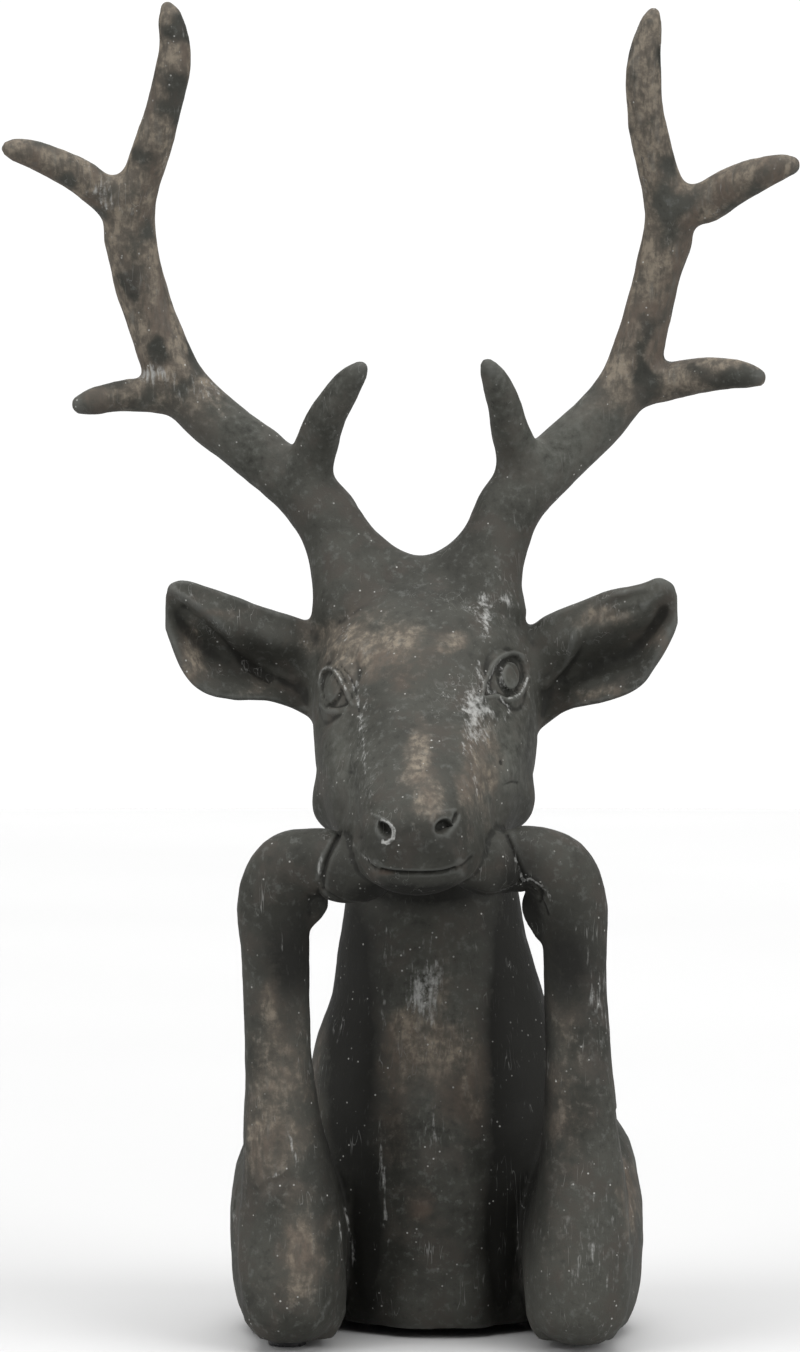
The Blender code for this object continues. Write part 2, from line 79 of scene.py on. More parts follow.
# Stations of the head along its own axis: distance, top, bottom, half width, narrowing of the top.
HEAD = (
    (-21, -6, -44, 26, 0), (-10, 9, -57, 40, 0), (5, 22.5, -66, 48, 0), (27, 26.5, -70, 50, 0.02),
    (50, 25, -71, 50, 0.04), (72, 22, -66, 47.4, 0.08), (90, 20.5, -57, 44.5, 0.13),
    (106, 20, -48.5, 39, 0.18), (122, 20, -40, 32.5, 0.18), (137, 19.5, -32.5, 28, 0.14),
    (150, 17.5, -26, 25.5, 0.08), (158, 13, -20.5, 21.5, 0),
)

FOREARMS = (
    ((-61, -68, 14, 21, 21), (-60.5, -66, 35, 23, 23), (-61.5, -66, 72, 20, 20.5),
     (-64.2, -67, 94, 17, 17.4), (-65.6, -68, 121, 15, 14.9), (-66.6, -68, 149, 14.5, 14.6),
     (-67.2, -69, 174, 14.8, 15.2), (-67.3, -70, 194, 15.2, 16.6),
     (-61, -73, 207.5, 15.4, 15.6), (-52, -76, 210.5, 15.2, 14.4),
     (-43, -79, 210.5, 14.6, 14.6)),
    ((66, -68, 14, 21, 21), (66.3, -66, 35, 23, 23), (66.8, -66, 70, 20, 19.6),
     (66.3, -67, 94, 17, 17), (65.8, -68, 117, 15, 15), (64.2, -68, 149, 14.5, 14),
     (63.6, -69, 172, 14.6, 14), (62.4, -70, 192, 15.2, 15.6), (57, -73, 206, 15.4, 15.6),
     (49, -76, 211, 15.2, 14.6), (39, -79, 212, 14.6, 14.8)),
)

HOOVES = (
    ((-45, -79, 210, 14, 13), (-38, -80, 207.5, 15.5, 14.6), (-30, -83, 205, 15, 13),
     (-23, -86, 204, 12, 9.5)),
    ((41, -79, 212, 14, 12.4), (33, -80, 211, 15.5, 14), (25, -83, 208.5, 15, 13),
     (17.5, -86, 208, 12, 9.5)),
)

UPPER_ARMS = (
    ((-58, -64, 20, 27, 22), (-60.5, -42, 27, 36, 22.5), (-64, -6, 36, 46.5, 27.4),
     (-57.5, 26, 44, 53, 29.5), (-42, 54, 45, 46, 27), (-28, 74, 44, 34, 22)),
    ((64, -64, 20, 27, 22), (64.5, -42, 28, 37, 23.5), (66.5, -6, 36, 46.5, 28),
     (59.5, 26, 45, 54, 29.5), (44, 54, 45, 46, 27), (30, 74, 44, 34, 22)),
)

WRIST_FOLDS = (
    ((-57, -70, 198, 8, 8), (-50.5, -69, 192, 6.5, 7), (-54.5, -68, 184, 4.5, 5)),
    ((53, -70, 198, 8, 8), (47, -69, 191, 6.5, 7), (51.5, -68, 179, 4.5, 5.5)),
)

# The dip between the antlers.
SADDLE = (
    (-44, -2, 362, 10, 10), (-33, -4, 348.5, 11, 11), (-20, -6, 337, 12, 12),
    (-6, -7, 331.5, 12, 12), (8, -6, 336.5, 12, 12), (20, -4, 348, 11, 11), (29, -2, 362, 10, 10),
)

# Every antler is a beam and three tines: x, y, z, half depth, half width.
BEAMS = (
    ((-33, -8, 318, 22, 22), (-36.5, -5, 334, 18.5, 18.5), (-43.6, 0, 353, 14.6, 15.2),
     (-53.5, 4, 367.6, 13.6, 14.4), (-74.5, 11, 386, 12.6, 13), (-101.5, 15, 407, 12, 12.7),
     (-117, 16, 424, 11.8, 12.8), (-127.5, 15, 449, 11, 11.6), (-134.4, 12, 471, 10.6, 11.5),
     (-137.4, 8, 491, 10.4, 11.8), (-134.5, 3, 507, 9.8, 11), (-129.6, 0, 518.5, 8.8, 9.4),
     (-122.6, -6, 538.5, 7.9, 8.3), (-115.8, -10, 566, 7.2, 7.8), (-117.5, -11, 584, 5.4, 5.8),
     (-119, -11, 589.3, 3.2, 3.4)),
    ((23, -8, 318, 20, 19.5), (23.5, -5, 334, 17, 16.5), (28.8, 0, 353, 14.8, 15.2),
     (36.6, 4, 369.5, 14, 14.8), (54.5, 11, 387, 12.6, 13.4), (75.6, 15, 407, 12, 12.6),
     (88.5, 16, 426, 11.8, 12.6), (95.4, 15, 449, 10.6, 11), (101, 12, 471, 10.2, 10.5),
     (105.2, 8, 488, 10.2, 11.8), (104.2, 3, 504, 9.8, 11), (100.4, 0, 517.5, 8.8, 9.3),
     (95.4, -6, 540, 8, 8.5), (94.2, -10, 563, 7.2, 7.8), (97, -11, 580, 5.1, 5.4),
     (98.4, -11, 585.5, 3.3, 3.5)),
)

FORK_TINES = (
    ((-137, 6, 496, 8.4, 10), (-143.5, 3, 503.5, 8.2, 10.4), (-152.3, 0, 509.6, 7.6, 8.6),
     (-160, -3, 515, 7.2, 7.8), (-178.6, -10, 523.5, 6, 6.6), (-188, -12.5, 525.9, 4.6, 5),
     (-190.4, -13, 526.3, 3.4, 3.6)),
    ((104, 6, 491, 8.6, 10), (111.5, 4, 499, 8.2, 10), (123.6, 0, 503, 7.8, 9.4),
     (132.8, -4, 508.2, 7.4, 9), (142.6, -8, 512.8, 6.8, 8.1), (154, -12, 516.6, 5.6, 6.3),
     (160.4, -13, 517.7, 3.8, 4.2)),
)

REAR_TINES = (
    ((-112, 16, 419, 8, 9.6), (-121.5, 16, 417, 8, 9.8), (-132, 14, 417, 7, 8.2),
     (-144, 10, 415.7, 6.2, 6.9), (-154, 6, 413.4, 5.6, 6.2), (-160, 4, 411.9, 4, 4.4)),
    ((88, 16, 420, 9, 11), (98.5, 16, 421.4, 8.4, 9.8), (109.4, 14, 423.2, 7.6, 8.7),
     (122.3, 10, 425.4, 6.8, 7.9), (134.4, 8, 425.7, 6.2, 6.9), (142.6, 6, 424.6, 5.2, 5.6),
     (146.4, 5, 423.8, 4, 4.3)),
)

BROW_TINES = (
    ((-58, 4, 378, 11, 11), (-54.2, 0, 389.5, 10, 10.6), (-49.8, -8, 400.2, 8.8, 9.2),
     (-45.2, -16, 409.3, 7.8, 8.3), (-38.2, -24, 419, 6.6, 7), (-33.4, -28, 424.6, 5, 5.4),
     (-31.2, -29.5, 427, 3.6, 3.8)),
    ((40, 4, 378, 11, 11), (37.6, 0, 389.5, 10, 10.8), (34.6, -8, 399.5, 8.4, 8.8),
     (32.4, -16, 409.6, 7.4, 7.8), (29.2, -24, 419.2, 6.4, 6.8), (25.8, -28, 426, 4.8, 5),
     (24.6, -29.5, 428.4, 3.4, 3.6)),
)

# Outline of each ear, root to tip: x, z of the upper edge, z of the lower edge, y of the rim.
EARS = (
    ((-44, 308, 266, -8), (-57, 314.5, 272, -13), (-72, 319.5, 278.5, -18),
     (-88, 325.5, 279.5, -22), (-102, 330.5, 282.5, -24), (-111, 333, 292, -25),
     (-117, 331.5, 305, -25)),
    ((37, 306, 262, -8), (48, 315.5, 266, -13), (62, 321.5, 275, -18), (78, 328, 279, -22),
     (92, 330.5, 284.5, -24), (101, 334, 297, -25), (107.5, 331.5, 309, -25)),
)
EAR_RIM = 5.0
EAR_BULGE = 15.0
EAR_CUP = 12.0
EAR_ROLL = 4.5

# Features of the face: x and z in front view, the way it faces, half width, half height, lean
# in degrees.
EYES = (
    ((-43.2, 285.2), (-0.66, -0.74, 0.12), 7.6, 8.0, 8),
    ((35.0, 289.6), (0.56, -0.82, 0.14), 6.4, 7.2, -8),
)
EYE_BALL = 2.9
EYE_SOCKET = 1.5
EYE_SOCKET_RING = (1.95, 0.42)  # its distance and width, as shares of the eye's half size

NOSTRILS = (
    ((-17.6, 227.2), (-0.42, -0.90, -0.10), 4.5, 2.8, 40),
    ((7.9, 228.2), (0.42, -0.90, -0.10), 4.6, 3.0, -30),
)
NOSTRIL_DEEP = 5.0

# Bumps and hollows: centre, reach, and how far the surface moves along its facing.
SWELLINGS = (
    ((-37, -45, 300), 16, (-0.5, -0.6, 0.5), 2.6),
    ((30, -46, 304), 16, (0.5, -0.6, 0.5), 2.6),
    ((-5, -62, 300), 22, (0.0, -0.7, 0.7), 1.6),
    ((-32, -72, 262), 20, (-0.7, -0.5, 0.3), -2.4),
    ((24, -72, 262), 20, (0.7, -0.5, 0.3), -2.4),
    ((-4, -124, 221), 9, (0.0, -1.0, 0.0), -1.2),
    ((-45, -36, 231), 21, (-0.85, -0.2, -0.45), 5.0),
    ((38, -36, 232), 21, (0.85, -0.2, -0.45), 4.6),
    ((-33, -76, 234), 13, (-0.6, -0.8, 0.0), -3.2),
    ((27, -78, 234), 13, (0.6, -0.8, 0.0), -2.4),
    ((-4, -112, 201), 15, (0.0, -0.6, -0.8), 1.6),
)

# The split of each hoof, as x and z in front view.
HOOF_LINES = (
    ((-36, 228), (-40, 220), (-44.5, 209), (-47.5, 196), (-47, 188)),
    ((31, 228), (34, 219), (38, 209), (43, 199), (44, 190)),
)
HOOF_CUT = 0.9
HOOF_CUT_WIDTH = 1.8
HOOF_CUT_REACH = 32.0  # the cut stays this near the hoof's first row
FRONT = 0.25  # lines are cut where the normal's y is below this

# Lines cut into the surface (-) or raised from it (+):
# rise, half width, deepest y that the line reaches, x and z of its points in front view.
MARKS = (
    # upper lid and crease of the left eye
    (0.5, 0.8, -25, ((-50.3, 287), (-49.9, 290), (-48.4, 292.8), (-45.9, 294.2), (-43.1, 293.8),
     (-40.4, 291), (-37.6, 286.4), (-35.2, 281.4), (-33.4, 278.2))),
    (-0.4, 0.6, -25, ((-39, 294.8), (-35.6, 291), (-33, 286), (-31.2, 280.9), (-30.4, 275.6))),
    (0.5, 1, -25, ((-48.6, 278), (-45, 275.2), (-40.5, 274.8), (-36.5, 276.2))),
    # lids of the right eye
    (0.7, 0.8, -25, ((22.9, 281.3), (24, 287.4), (26.3, 293.1), (29.8, 298.1), (33.8, 300.5),
     (37.9, 300.6), (41.4, 298.4), (43.2, 294.4), (42.9, 289.4))),
    (0.6, 0.8, -25, ((42.9, 289.4), (41, 284.2), (38, 281.2), (34.2, 280.3), (30.5, 281.8),
     (27.4, 281.9), (22.9, 281.3))),
    # wings of the nostrils
    (0.7, 0.7, -90, ((-21.6, 232.4), (-18.6, 231.3), (-15.2, 229.6), (-13.2, 226.4), (-13.6, 223),
     (-15.9, 221.4))),
    (-1.6, 0.8, -85, ((8.6, 228.6), (10.8, 229), (12.4, 230.8), (13.2, 233.3))),
    (0.6, 1.1, -85, ((2.6, 230.4), (4.2, 233.4), (8.4, 234.6), (12, 234.6))),
    # mouth and lower lip
    (-2.1, 0.8, -80, ((-18.6, 209.4), (-15.3, 208.8), (-9.9, 208.3), (-2.3, 208.2), (6.6, 208.5),
     (12.6, 210))),
    (-0.6, 0.8, -80, ((-25.2, 214.1), (-22.9, 211.3), (-18.6, 209.4))),
    (-0.6, 0.8, -80, ((12.6, 210), (16.3, 211.7), (19.6, 214.6))),
    (0.5, 1.6, -80, ((-21, 213), (-15, 210.8), (-9.2, 210.2), (-2.8, 210), (3.7, 210.4),
     (9.2, 211.6), (14.4, 213.6))),
    (0.9, 2, -75, ((-20.4, 207), (-15.6, 204.6), (-10, 203.4), (-2.8, 202.8), (4.5, 203.2),
     (10.4, 204.8), (15, 207.4))),
    # edges of the muzzle, hollows of the cheeks, the small fold on the right jaw
    (0.6, 2.6, -50, ((-31.1, 272.5), (-28.1, 264.6), (-25.4, 254.2), (-24, 243))),
    (0.7, 2.6, -50, ((15.3, 272.6), (16.6, 263.8), (17.5, 250.9), (18.4, 240.9))),
    (-2, 3.8, -45, ((-34.6, 249.4), (-33.8, 240.7), (-32.6, 232), (-30.2, 223.3))),
    (-1.5, 4, -45, ((27, 246.4), (25.3, 237.7), (22.9, 230), (19.6, 222.3))),
    (0.6, 2, -35, ((36.2, 239.9), (39.7, 239.3), (42.4, 237.1))),
    (-0.4, 0.8, -35, ((33.2, 243.9), (35.8, 245), (38.6, 244.5))),
    # edges of the hooves and the folds behind them
    (-0.8, 0.7, -68, ((-38.6, 221.6), (-41.2, 216.4), (-43.3, 211.2), (-44.6, 205.1),
     (-45.1, 199.5))),
    (0.6, 1.4, -68, ((-40.9, 221.6), (-43.7, 216), (-45.9, 210.6), (-47.2, 204.2))),
    (-0.6, 0.8, -62, ((-45.1, 199.5), (-39.9, 196), (-34.3, 193.5), (-28.2, 192.6))),
    (-0.8, 0.7, -68, ((34.4, 222.6), (36.6, 217.4), (38.7, 212.2), (40.4, 207), (40.9, 203.1))),
    (0.6, 1.4, -68, ((36.8, 222.2), (39.2, 216.8), (41.2, 211.6), (43, 206.4))),
    (-0.6, 0.8, -62, ((40.9, 203.1), (36.6, 200.1), (31.4, 197.9), (25.8, 197.1), (19.7, 198.8))),
    # the crack and the chip at the right wrist
    (-1, 0.6, -60, ((40.9, 203), (43.9, 203.3), (46.9, 201.5), (49.1, 198.1), (48.6, 193.5))),
    (-0.8, 0.5, -60, ((43.5, 200.9), (46.9, 197.8), (49.9, 193.5), (52.1, 187.9))),
    (0.6, 1.6, -60, ((44.4, 206), (48.6, 204.2), (51.6, 200.2))),
    # ridges of the elbows and the long groove outside the right one
    (0.9, 1.8, -66, ((-81.6, 56.8), (-82.2, 42.4), (-81.8, 31.5), (-79.4, 20.8))),
    (0.9, 1.4, -70, ((-41.8, 66.6), (-40.1, 56.8), (-38.2, 44.8), (-36.9, 33.7), (-37.2, 24.5))),
    (-0.8, 1.3, -66, ((-38.6, 60.1), (-36.4, 48.3), (-34.6, 38.5), (-34, 29.6))),
    (-0.6, 1, -72, ((-44, 19.1), (-41.4, 22.2), (-38.4, 24.8))),
    (-0.9, 2.2, -70, ((-77.6, 66.4), (-72.8, 67.6), (-67.3, 71.1), (-60.6, 73.5))),
    (-1.1, 1.3, -20, ((82.7, 100.6), (84.4, 91.1), (85.7, 83.2), (87.1, 74.5), (87.8, 64.8),
     (88.6, 57.8), (89.3, 43.5))),
    (-0.7, 1.1, -20, ((-85.6, 84.6), (-87.4, 74.1), (-88.4, 62.2), (-88.8, 50.5), (-86.9, 40.8))),
    # folds inside the ears
    (1.2, 1.8, 20, ((-115.4, 328.6), (-105.5, 322.8), (-97.4, 316.5), (-89.4, 308.7),
     (-81.3, 300.2), (-73.3, 293.5), (-62.3, 288.3))),
    (-1.2, 1.8, 20, ((-110.4, 320.6), (-102.5, 314.2), (-95.4, 307.9), (-88.4, 300.3),
     (-81.3, 293.4), (-73.3, 288.2))),
    (0.8, 1.6, 20, ((62.7, 283.4), (70.4, 286.6), (77.5, 289.3), (84.7, 291.9), (93.7, 294.7))),
    (1.2, 1.6, 20, ((50.5, 286.1), (57.7, 293.9), (61.9, 304), (65.2, 314.3), (71.9, 320.3),
     (82.8, 325.9), (95.4, 329))),
    (-1, 1.5, 20, ((56.5, 288.1), (63.7, 296.9), (67.9, 305), (72.2, 312.3), (80.9, 317.3),
     (90.8, 319.9))),
)

# Areas sunk (-) or raised (+) within an outline:
# rise, width of the edge, deepest y, x and z of the outline.
FIELDS = (
    (-1.1, 0.8, -25, ((-49.7, 287.5), (-49, 290.8), (-46.9, 292.8), (-44.5, 293), (-41.9, 291),
     (-39.2, 286.7), (-37, 282), (-35.6, 278.8), (-38.9, 277), (-43, 276.8), (-46.9, 279.2),
     (-49, 283.2))),
    (-1.9, 0.8, -25, ((24.4, 282.4), (25.3, 287.4), (27.5, 292.7), (30.7, 296.9), (34.2, 299.1),
     (37.6, 299.3), (40.4, 297.4), (42, 294.2), (41.7, 289.4), (39.9, 284.8), (36.9, 282.3),
     (33.9, 281.6), (30.5, 283.1), (27.4, 283.1))),
    (1.3, 0.6, -25, ((31.2, 291), (32, 294.4), (34, 296.8), (36.6, 297.2), (38.9, 295.2),
     (40, 291.4), (39.4, 287.6), (37.5, 285.2), (35, 284.8), (32.6, 286.8))),
)

# Chips knocked out of the surface: x and z in front view, reach, depth.
CHIPS = (
    (49.4, 197.6, 2.6, 1), (45.6, 200.2, 1.8, 0.6), (-121.6, 420.5, 2.2, 0.7),
    (-28.8, 206.4, 2, 0.5), (31.6, 253.4, 2, 0.5), (-60.5, 68, 2.4, 0.6), (72, 146, 2, 0.6),
    (-66, 160, 2.2, 0.5), (4, 88, 2.4, 0.5), (-118, 575, 2, 0.6), (98, 560, 1.8, 0.6),
)

# Worn places, and places of painted light and painted shade, on the front (-1) and the back (1):
# x and z in front view, half width, half height, strength.
PATCHES = {
    ("tan", -1): ((-29, 305, 25, 12, 0.95), (-14, 308, 14, 10, 0.6), (-4, 255, 5, 14, 0.85),
     (0, 240, 8.5, 10, 0.72), (21, 262, 8, 13, 0.7), (22, 245, 7, 18, 0.7), (11, 306, 8, 3, 0.7),
     (-108, 300, 5, 14, 0.8), (-76, 283, 10, 4, 0.45), (77, 317, 15, 5, 0.7),
     (103, 304, 5, 12, 0.6), (75, 283, 15, 4, 0.55), (6, 146, 8, 18, 0.45), (-13, 126, 12, 17, 1),
     (4, 126, 12, 14, 0.95), (19, 114, 6, 15, 1), (-70, 150, 6, 18, 0.75),
     (-66, 118, 15, 24, 0.6), (-60, 92, 12, 16, 0.6), (-72, 92, 9, 18, 0.9), (-54, 46, 8, 18, 1),
     (-54, 30, 8, 11, 0.7), (59, 138, 8, 26, 0.45), (57, 106, 9, 24, 0.35),
     (89, 59, 5, 16, 0.85)),
    ("rust", -1): ((-12, 290, 20, 12, 0.45), (-19, 209, 6, 3, 0.9), (29, 209, 8, 9, 0.35),
     (-40, 208, 9, 10, 0.25), (-93, 318, 14, 5, 0.6), (14, 104, 16, 22, 0.7),
     (-16, 96, 12, 30, 0.6), (-5, 54, 6, 9, 0.85), (20, 60, 9, 18, 0.3), (-60, 132, 12, 34, 0.4),
     (-66, 30, 13, 18, 0.45), (60, 96, 13, 28, 0.5), (56, 46, 11, 22, 0.4)),
    ("pale", -1): ((21, 275, 5, 12, 1), (27, 274, 8, 5, 0.5), (24, 318, 3, 9, 0.9),
     (34, 325, 5, 4, 0.6), (30, 322, 6, 12, 0.3), (22, 290, 3, 9, 0.6), (-29, 278, 3, 16, 0.35),
     (-2, 149, 7, 15, 0.85), (2, 88, 4, 12, 0.35), (73, 154, 3, 22, 0.4), (71, 40, 13, 18, 0.28),
     (-90, 47, 3, 18, 0.3), (-150, 506, 6, 5, 0.6), (-129, 427, 9, 5, 0.6),
     (-119, 505, 3, 16, 0.5), (-103, 421, 15, 6, 0.45), (108, 440, 4, 15, 0.45)),
    # painted shade: the chest's flanks beside the arms, the throat, under the muzzle, the arm
    # shafts and the ear cups are made darker
    ("dark", -1): ((39, 128, 10, 66, 4), (31, 44, 6.5, 42, 2.2), (-37, 128, 11, 62, 2.2),
     (-29, 44, 7, 42, 2), (-4, 196, 32, 8, 1.9), (-60, 168, 13, 20, 1.2), (60, 168, 13, 22, 1.2),
     (-6, 222, 22, 7, 0.6), (-84, 296, 14, 10, 0.5), (78, 302, 14, 9, 0.5)),
    # painted light: the antler beams, brow tines, chest, mouth and cheeks are made lighter where
    # light falls on them from above and the sides
    ("light", -1): ((-82, 396, 28, 22, 0.55), (62, 396, 28, 24, 0.9), (-44, 415, 12, 24, 0.5),
     (30, 418, 12, 24, 0.5), (2, 128, 18, 42, 0.7), (-4, 203, 14, 4, 0.9), (-36, 248, 9, 24, 0.8),
     (34, 250, 9, 26, 1)),
    # painted light on the back as well
    ("light", 1): ((-82, 396, 28, 22, 0.7), (62, 396, 28, 24, 0.7), (0, 240, 34, 40, 0.5)),
    ("tan", 1): ((-26, 150, 16, 30, 0.7), (26, 84, 18, 26, 0.7), (-58, 48, 16, 20, 0.6),
     (62, 56, 12, 24, 0.6), (-2, 300, 22, 14, 0.6), (-92, 306, 12, 12, 0.6),
     (84, 304, 12, 12, 0.6)),
    ("pale", 1): ((2, 196, 7, 16, 0.5),),
    ("rust", 1): ((8, 128, 18, 26, 0.6),),
}
# How far a place turns away from its side before it fades, for each kind.
FACING = {
    "tan": (-0.1, 0.4),
    "pale": (-0.1, 0.4),
    "rust": (-0.1, 0.4),
    "dark": (-0.8, -0.2),
    "light": (-0.5, 0.2),
}
STEADY = {"dark": 0.3, "light": 0.5}  # kinds whose outline wanders less, and what share of it
PATCH_SWAY = 6.0  # how far the outline of a worn place wanders, in steps
PATCH_WAVE = 11.0  # over what length it does, in steps
PATCH_FADE = 0.9  # how soon a place fades beyond its half size
SWAY_SEED = 323

ANTLER_TAN = (392.0, 440.0, 0.90)  # heights between which the antlers turn tan, and how tan
ANTLER_OUT = (58.0, 92.0)  # distances from the middle over which they do
ANTLER_BLOTCH = 1.7  # how much the tan varies along them
ANTLER_MOST = 1.15
# Darker places on them: x, z, half width, half height, strength.
BARE = (
    (104, 505, 6, 20, 0.75),
    (-121, 545, 4, 16, 0.45),
    (-129, 470, 3, 26, 0.4),
)

# Pale scratches on the front: strength, half width, x and z of their points.
STREAKS = (
    (0.8, 0.9, ((-22.8, 92.4), (-21.9, 78.1), (-21.5, 60.2), (-20.6, 37.8))),
    (0.7, 0.8, ((-21, 178.8), (-19.7, 173), (-20.9, 160.1))),
    (0.8, 0.8, ((-38.9, 52.1), (-37.1, 44.3), (-35.3, 37.5), (-35, 26.6))),
    (0.8, 0.7, ((-60.2, 92.7), (-58.4, 85.7), (-56.7, 79.6))),
    (0.6, 0.6, ((-23.6, 243), (-24.2, 238), (-23, 233))),
    (1.3, 0.8, ((-18.4, 230.6), (-15.2, 229), (-13.2, 226.2), (-13.8, 223.2), (-15.9, 221.4),
     (-18.2, 221.6))),
    (0.55, 0.8, ((-32.4, 290), (-30.2, 276), (-27.6, 262), (-26.8, 250))),
    (0.7, 0.6, ((-49.8, 289.5), (-49.1, 292.1), (-47.4, 293.8), (-44.9, 294.3), (-42.1, 293),
     (-39.4, 289.7), (-36.8, 284.8))),
    (0.5, 0.6, ((-36.1, 291.5), (-33.3, 285.6), (-31.4, 279.9))),
    (0.9, 0.6, ((42.6, 289.4), (40.9, 284.8), (38, 282), (34.6, 281.1))),
    (0.8, 0.6, ((31, 281.6), (32.6, 279), (35.4, 276.6), (34.2, 274))),
    (0.95, 0.8, ((31.4, 293.9), (31, 290.6), (31.9, 287.4), (33.6, 285.2))),
    (0.6, 0.6, ((26.4, 289.9), (28.6, 294.7), (31.4, 298.3))),
    (0.85, 0.7, ((37.9, 212.8), (40, 207.9), (41.2, 203.4), (44.9, 203.9), (48.4, 201.2))),
    (0.7, 0.7, ((48.4, 201.2), (51.6, 198.4), (53.8, 194))),
    (0.5, 0.8, ((-45.5, 212.7), (-46.8, 206.7), (-46.6, 201))),
    (0.4, 0.8, ((-34.6, 221), (-26, 214.6), (-21, 211.4))),
    (0.5, 0.9, ((14.4, 262.9), (19.6, 251.1), (21.8, 240.5))),
    (0.6, 0.8, ((14.6, 288.6), (18.8, 283), (20.6, 278))),
    (0.5, 0.9, ((-23, 158), (-21, 146), (-22, 132))),
    (0.5, 0.7, ((-38.6, 322), (-36.8, 314), (-38, 306))),
    (0.5, 0.7, ((-71, 72.6), (-66, 74.6), (-62, 74))),
)


def through(rows, per_span=6):
    """A smooth run of values through the given rows."""
    rows = np.array(rows, float)
    ends = np.vstack([2 * rows[0] - rows[1], rows, 2 * rows[-1] - rows[-2]])
    share = np.arange(per_span)[:, None] / per_span
    runs = []
    for before, here, after, last in zip(ends, ends[1:], ends[2:], ends[3:]):
        bend = 2 * before - 5 * here + 4 * after - last
        twist = 3 * here - before - 3 * after + last
        runs.append(here + 0.5 * share * (after - before + share * (bend + share * twist)))
    runs.append(rows[-1:])
    return np.vstack(runs)


def unit(vectors):
    return vectors / np.linalg.norm(vectors, axis=-1, keepdims=True)


def oval(turn, power):
    """Points of a superellipse of half size one."""
    across, up = np.cos(turn), np.sin(turn)
    swing = np.sign(across) * np.abs(across) ** (2 / power)
    sweep = np.sign(up) * np.abs(up) ** (2 / power)
    return swing, sweep


def skin(rings):
    """Vertices and faces of a closed body through equal rings, each end closed by a fan."""
    count, sides = len(rings), len(rings[0])
    points = np.vstack([np.vstack(rings), rings[0].mean(axis=0), rings[-1].mean(axis=0)])
    faces = []
    for i in range(count - 1):
        for j in range(sides):
            k = (j + 1) % sides
            faces.append((i * sides + j, i * sides + k, (i + 1) * sides + k, (i + 1) * sides + j))
    first, last = count * sides, count * sides + 1
    for j in range(sides):
        k = (j + 1) % sides
        faces.append((first, k, j))
        faces.append((last, (count - 1) * sides + j, (count - 1) * sides + k))
    return points, faces


def limb(rows, depth_way=(0, 1, 0), sides=24, power=2.0, domes=(0.9, 0.9)):
    """A body of superellipse sections along a smooth spine, with a dome at each end."""
    path = through(rows)
    spots, depths, widths = path[:, :3], path[:, 3], path[:, 4]
    along = unit(np.gradient(spots, axis=0))
    first = np.array(depth_way, float) - (along @ np.array(depth_way, float))[:, None] * along
    first = unit(first)
    second = np.cross(along, first)
    turn = np.linspace(0, 2 * np.pi, sides, endpoint=False)
    swing, sweep = oval(turn, power)

    def ring(i, shrink=1.0, shift=0.0):
        out = first[i] * depths[i] * shrink * swing[:, None]
        out = out + second[i] * widths[i] * shrink * sweep[:, None]
        return spots[i] + along[i] * shift + out

    rings = [ring(i) for i in range(len(spots))]
    angles = np.radians((22, 44, 66, 84))
    for i, way, dome in ((0, -1, domes[0]), (len(spots) - 1, 1, domes[1])):
        if not dome:
            continue
        reach = dome * min(depths[i], widths[i])
        caps = [ring(i, np.cos(a), way * reach * np.sin(a)) for a in angles]
        rings = caps[::-1] + rings if way < 0 else rings + caps
    return skin(rings)


def head_axes():
    """Forward, sideways and upward directions of the head."""
    ahead = np.array((0.0, -np.cos(HEAD_PITCH), -np.sin(HEAD_PITCH)))
    above = np.array((0.0, -np.sin(HEAD_PITCH), np.cos(HEAD_PITCH)))
    aside = np.array((1.0, 0.0, 0.0))
    turned = aside * np.cos(HEAD_ROLL) + above * np.sin(HEAD_ROLL)
    raised = above * np.cos(HEAD_ROLL) - aside * np.sin(HEAD_ROLL)
    return ahead, turned, raised


def head():
    ahead, aside, above = head_axes()
    stations = through(HEAD)
    turn = np.linspace(0, 2 * np.pi, 40, endpoint=False)
    power = np.where(np.sin(turn) < 0, HEAD_POWERS[0], HEAD_POWERS[1])
    swing, sweep = oval(turn, power)
    rings = []
    for distance, top, bottom, half, pinch in stations:
        middle = np.array(HEAD_AT) + ahead * distance + above * (top + bottom) / 2
        tall = (top - bottom) / 2
        wide = half * swing * (1 - pinch * sweep)
        rings.append(middle + aside * wide[:, None] + above * tall * sweep[:, None])
    for way, reach in zip((-1, 1), HEAD_DOMES):
        base = rings[-1] if way > 0 else rings[0]
        centre = base.mean(axis=0)
        caps = []
        for angle in np.radians((25, 50, 75)):
            out = ahead * way * reach * np.sin(angle)
            caps.append(centre + (base - centre) * np.cos(angle) + out)
        rings = caps[::-1] + rings if way < 0 else rings + caps
    return skin(rings)


def ear(rows, side):
    """A leaf with a bulging back and a cup in its front, under a rolled upper rim."""
    stations = through(rows)
    share = np.linspace(0, 1, len(stations))
    down = np.linspace(0, 1, 15)
    rings = []
    for (x, top, bottom, rim), s in zip(stations, share):
        swell = np.sin(np.pi * (0.12 + 0.80 * down)) ** 0.8
        fade = np.sqrt(max(1.0 - s**3, 0.0))
        z = top + (bottom - top) * down
        back = rim + EAR_RIM / 2 + EAR_BULGE * swell * fade
        rim_at = 0.55 - 0.32 * s
        roll = EAR_ROLL * np.exp(-(((down - rim_at + 0.10) / 0.15) ** 2))
        cup = EAR_CUP * np.exp(-(((down - rim_at - 0.26) / 0.20) ** 2))
        front = rim - EAR_RIM / 2 + (cup * (1 - s**4) - roll * fade) * min(1.0, 3.0 * s + 0.1)
        edge_front = np.column_stack([np.full(len(z), x), front, z])
        edge_back = np.column_stack([np.full(len(z), x), back, z])[::-1]
        rings.append(np.vstack([edge_front, edge_back]))
    tip = rings[-1]
    centre = tip.mean(axis=0)
    rings.append(centre + (tip - centre) * 0.55 + np.array((side * 2.2, 0, 0)))
    return skin(rings)


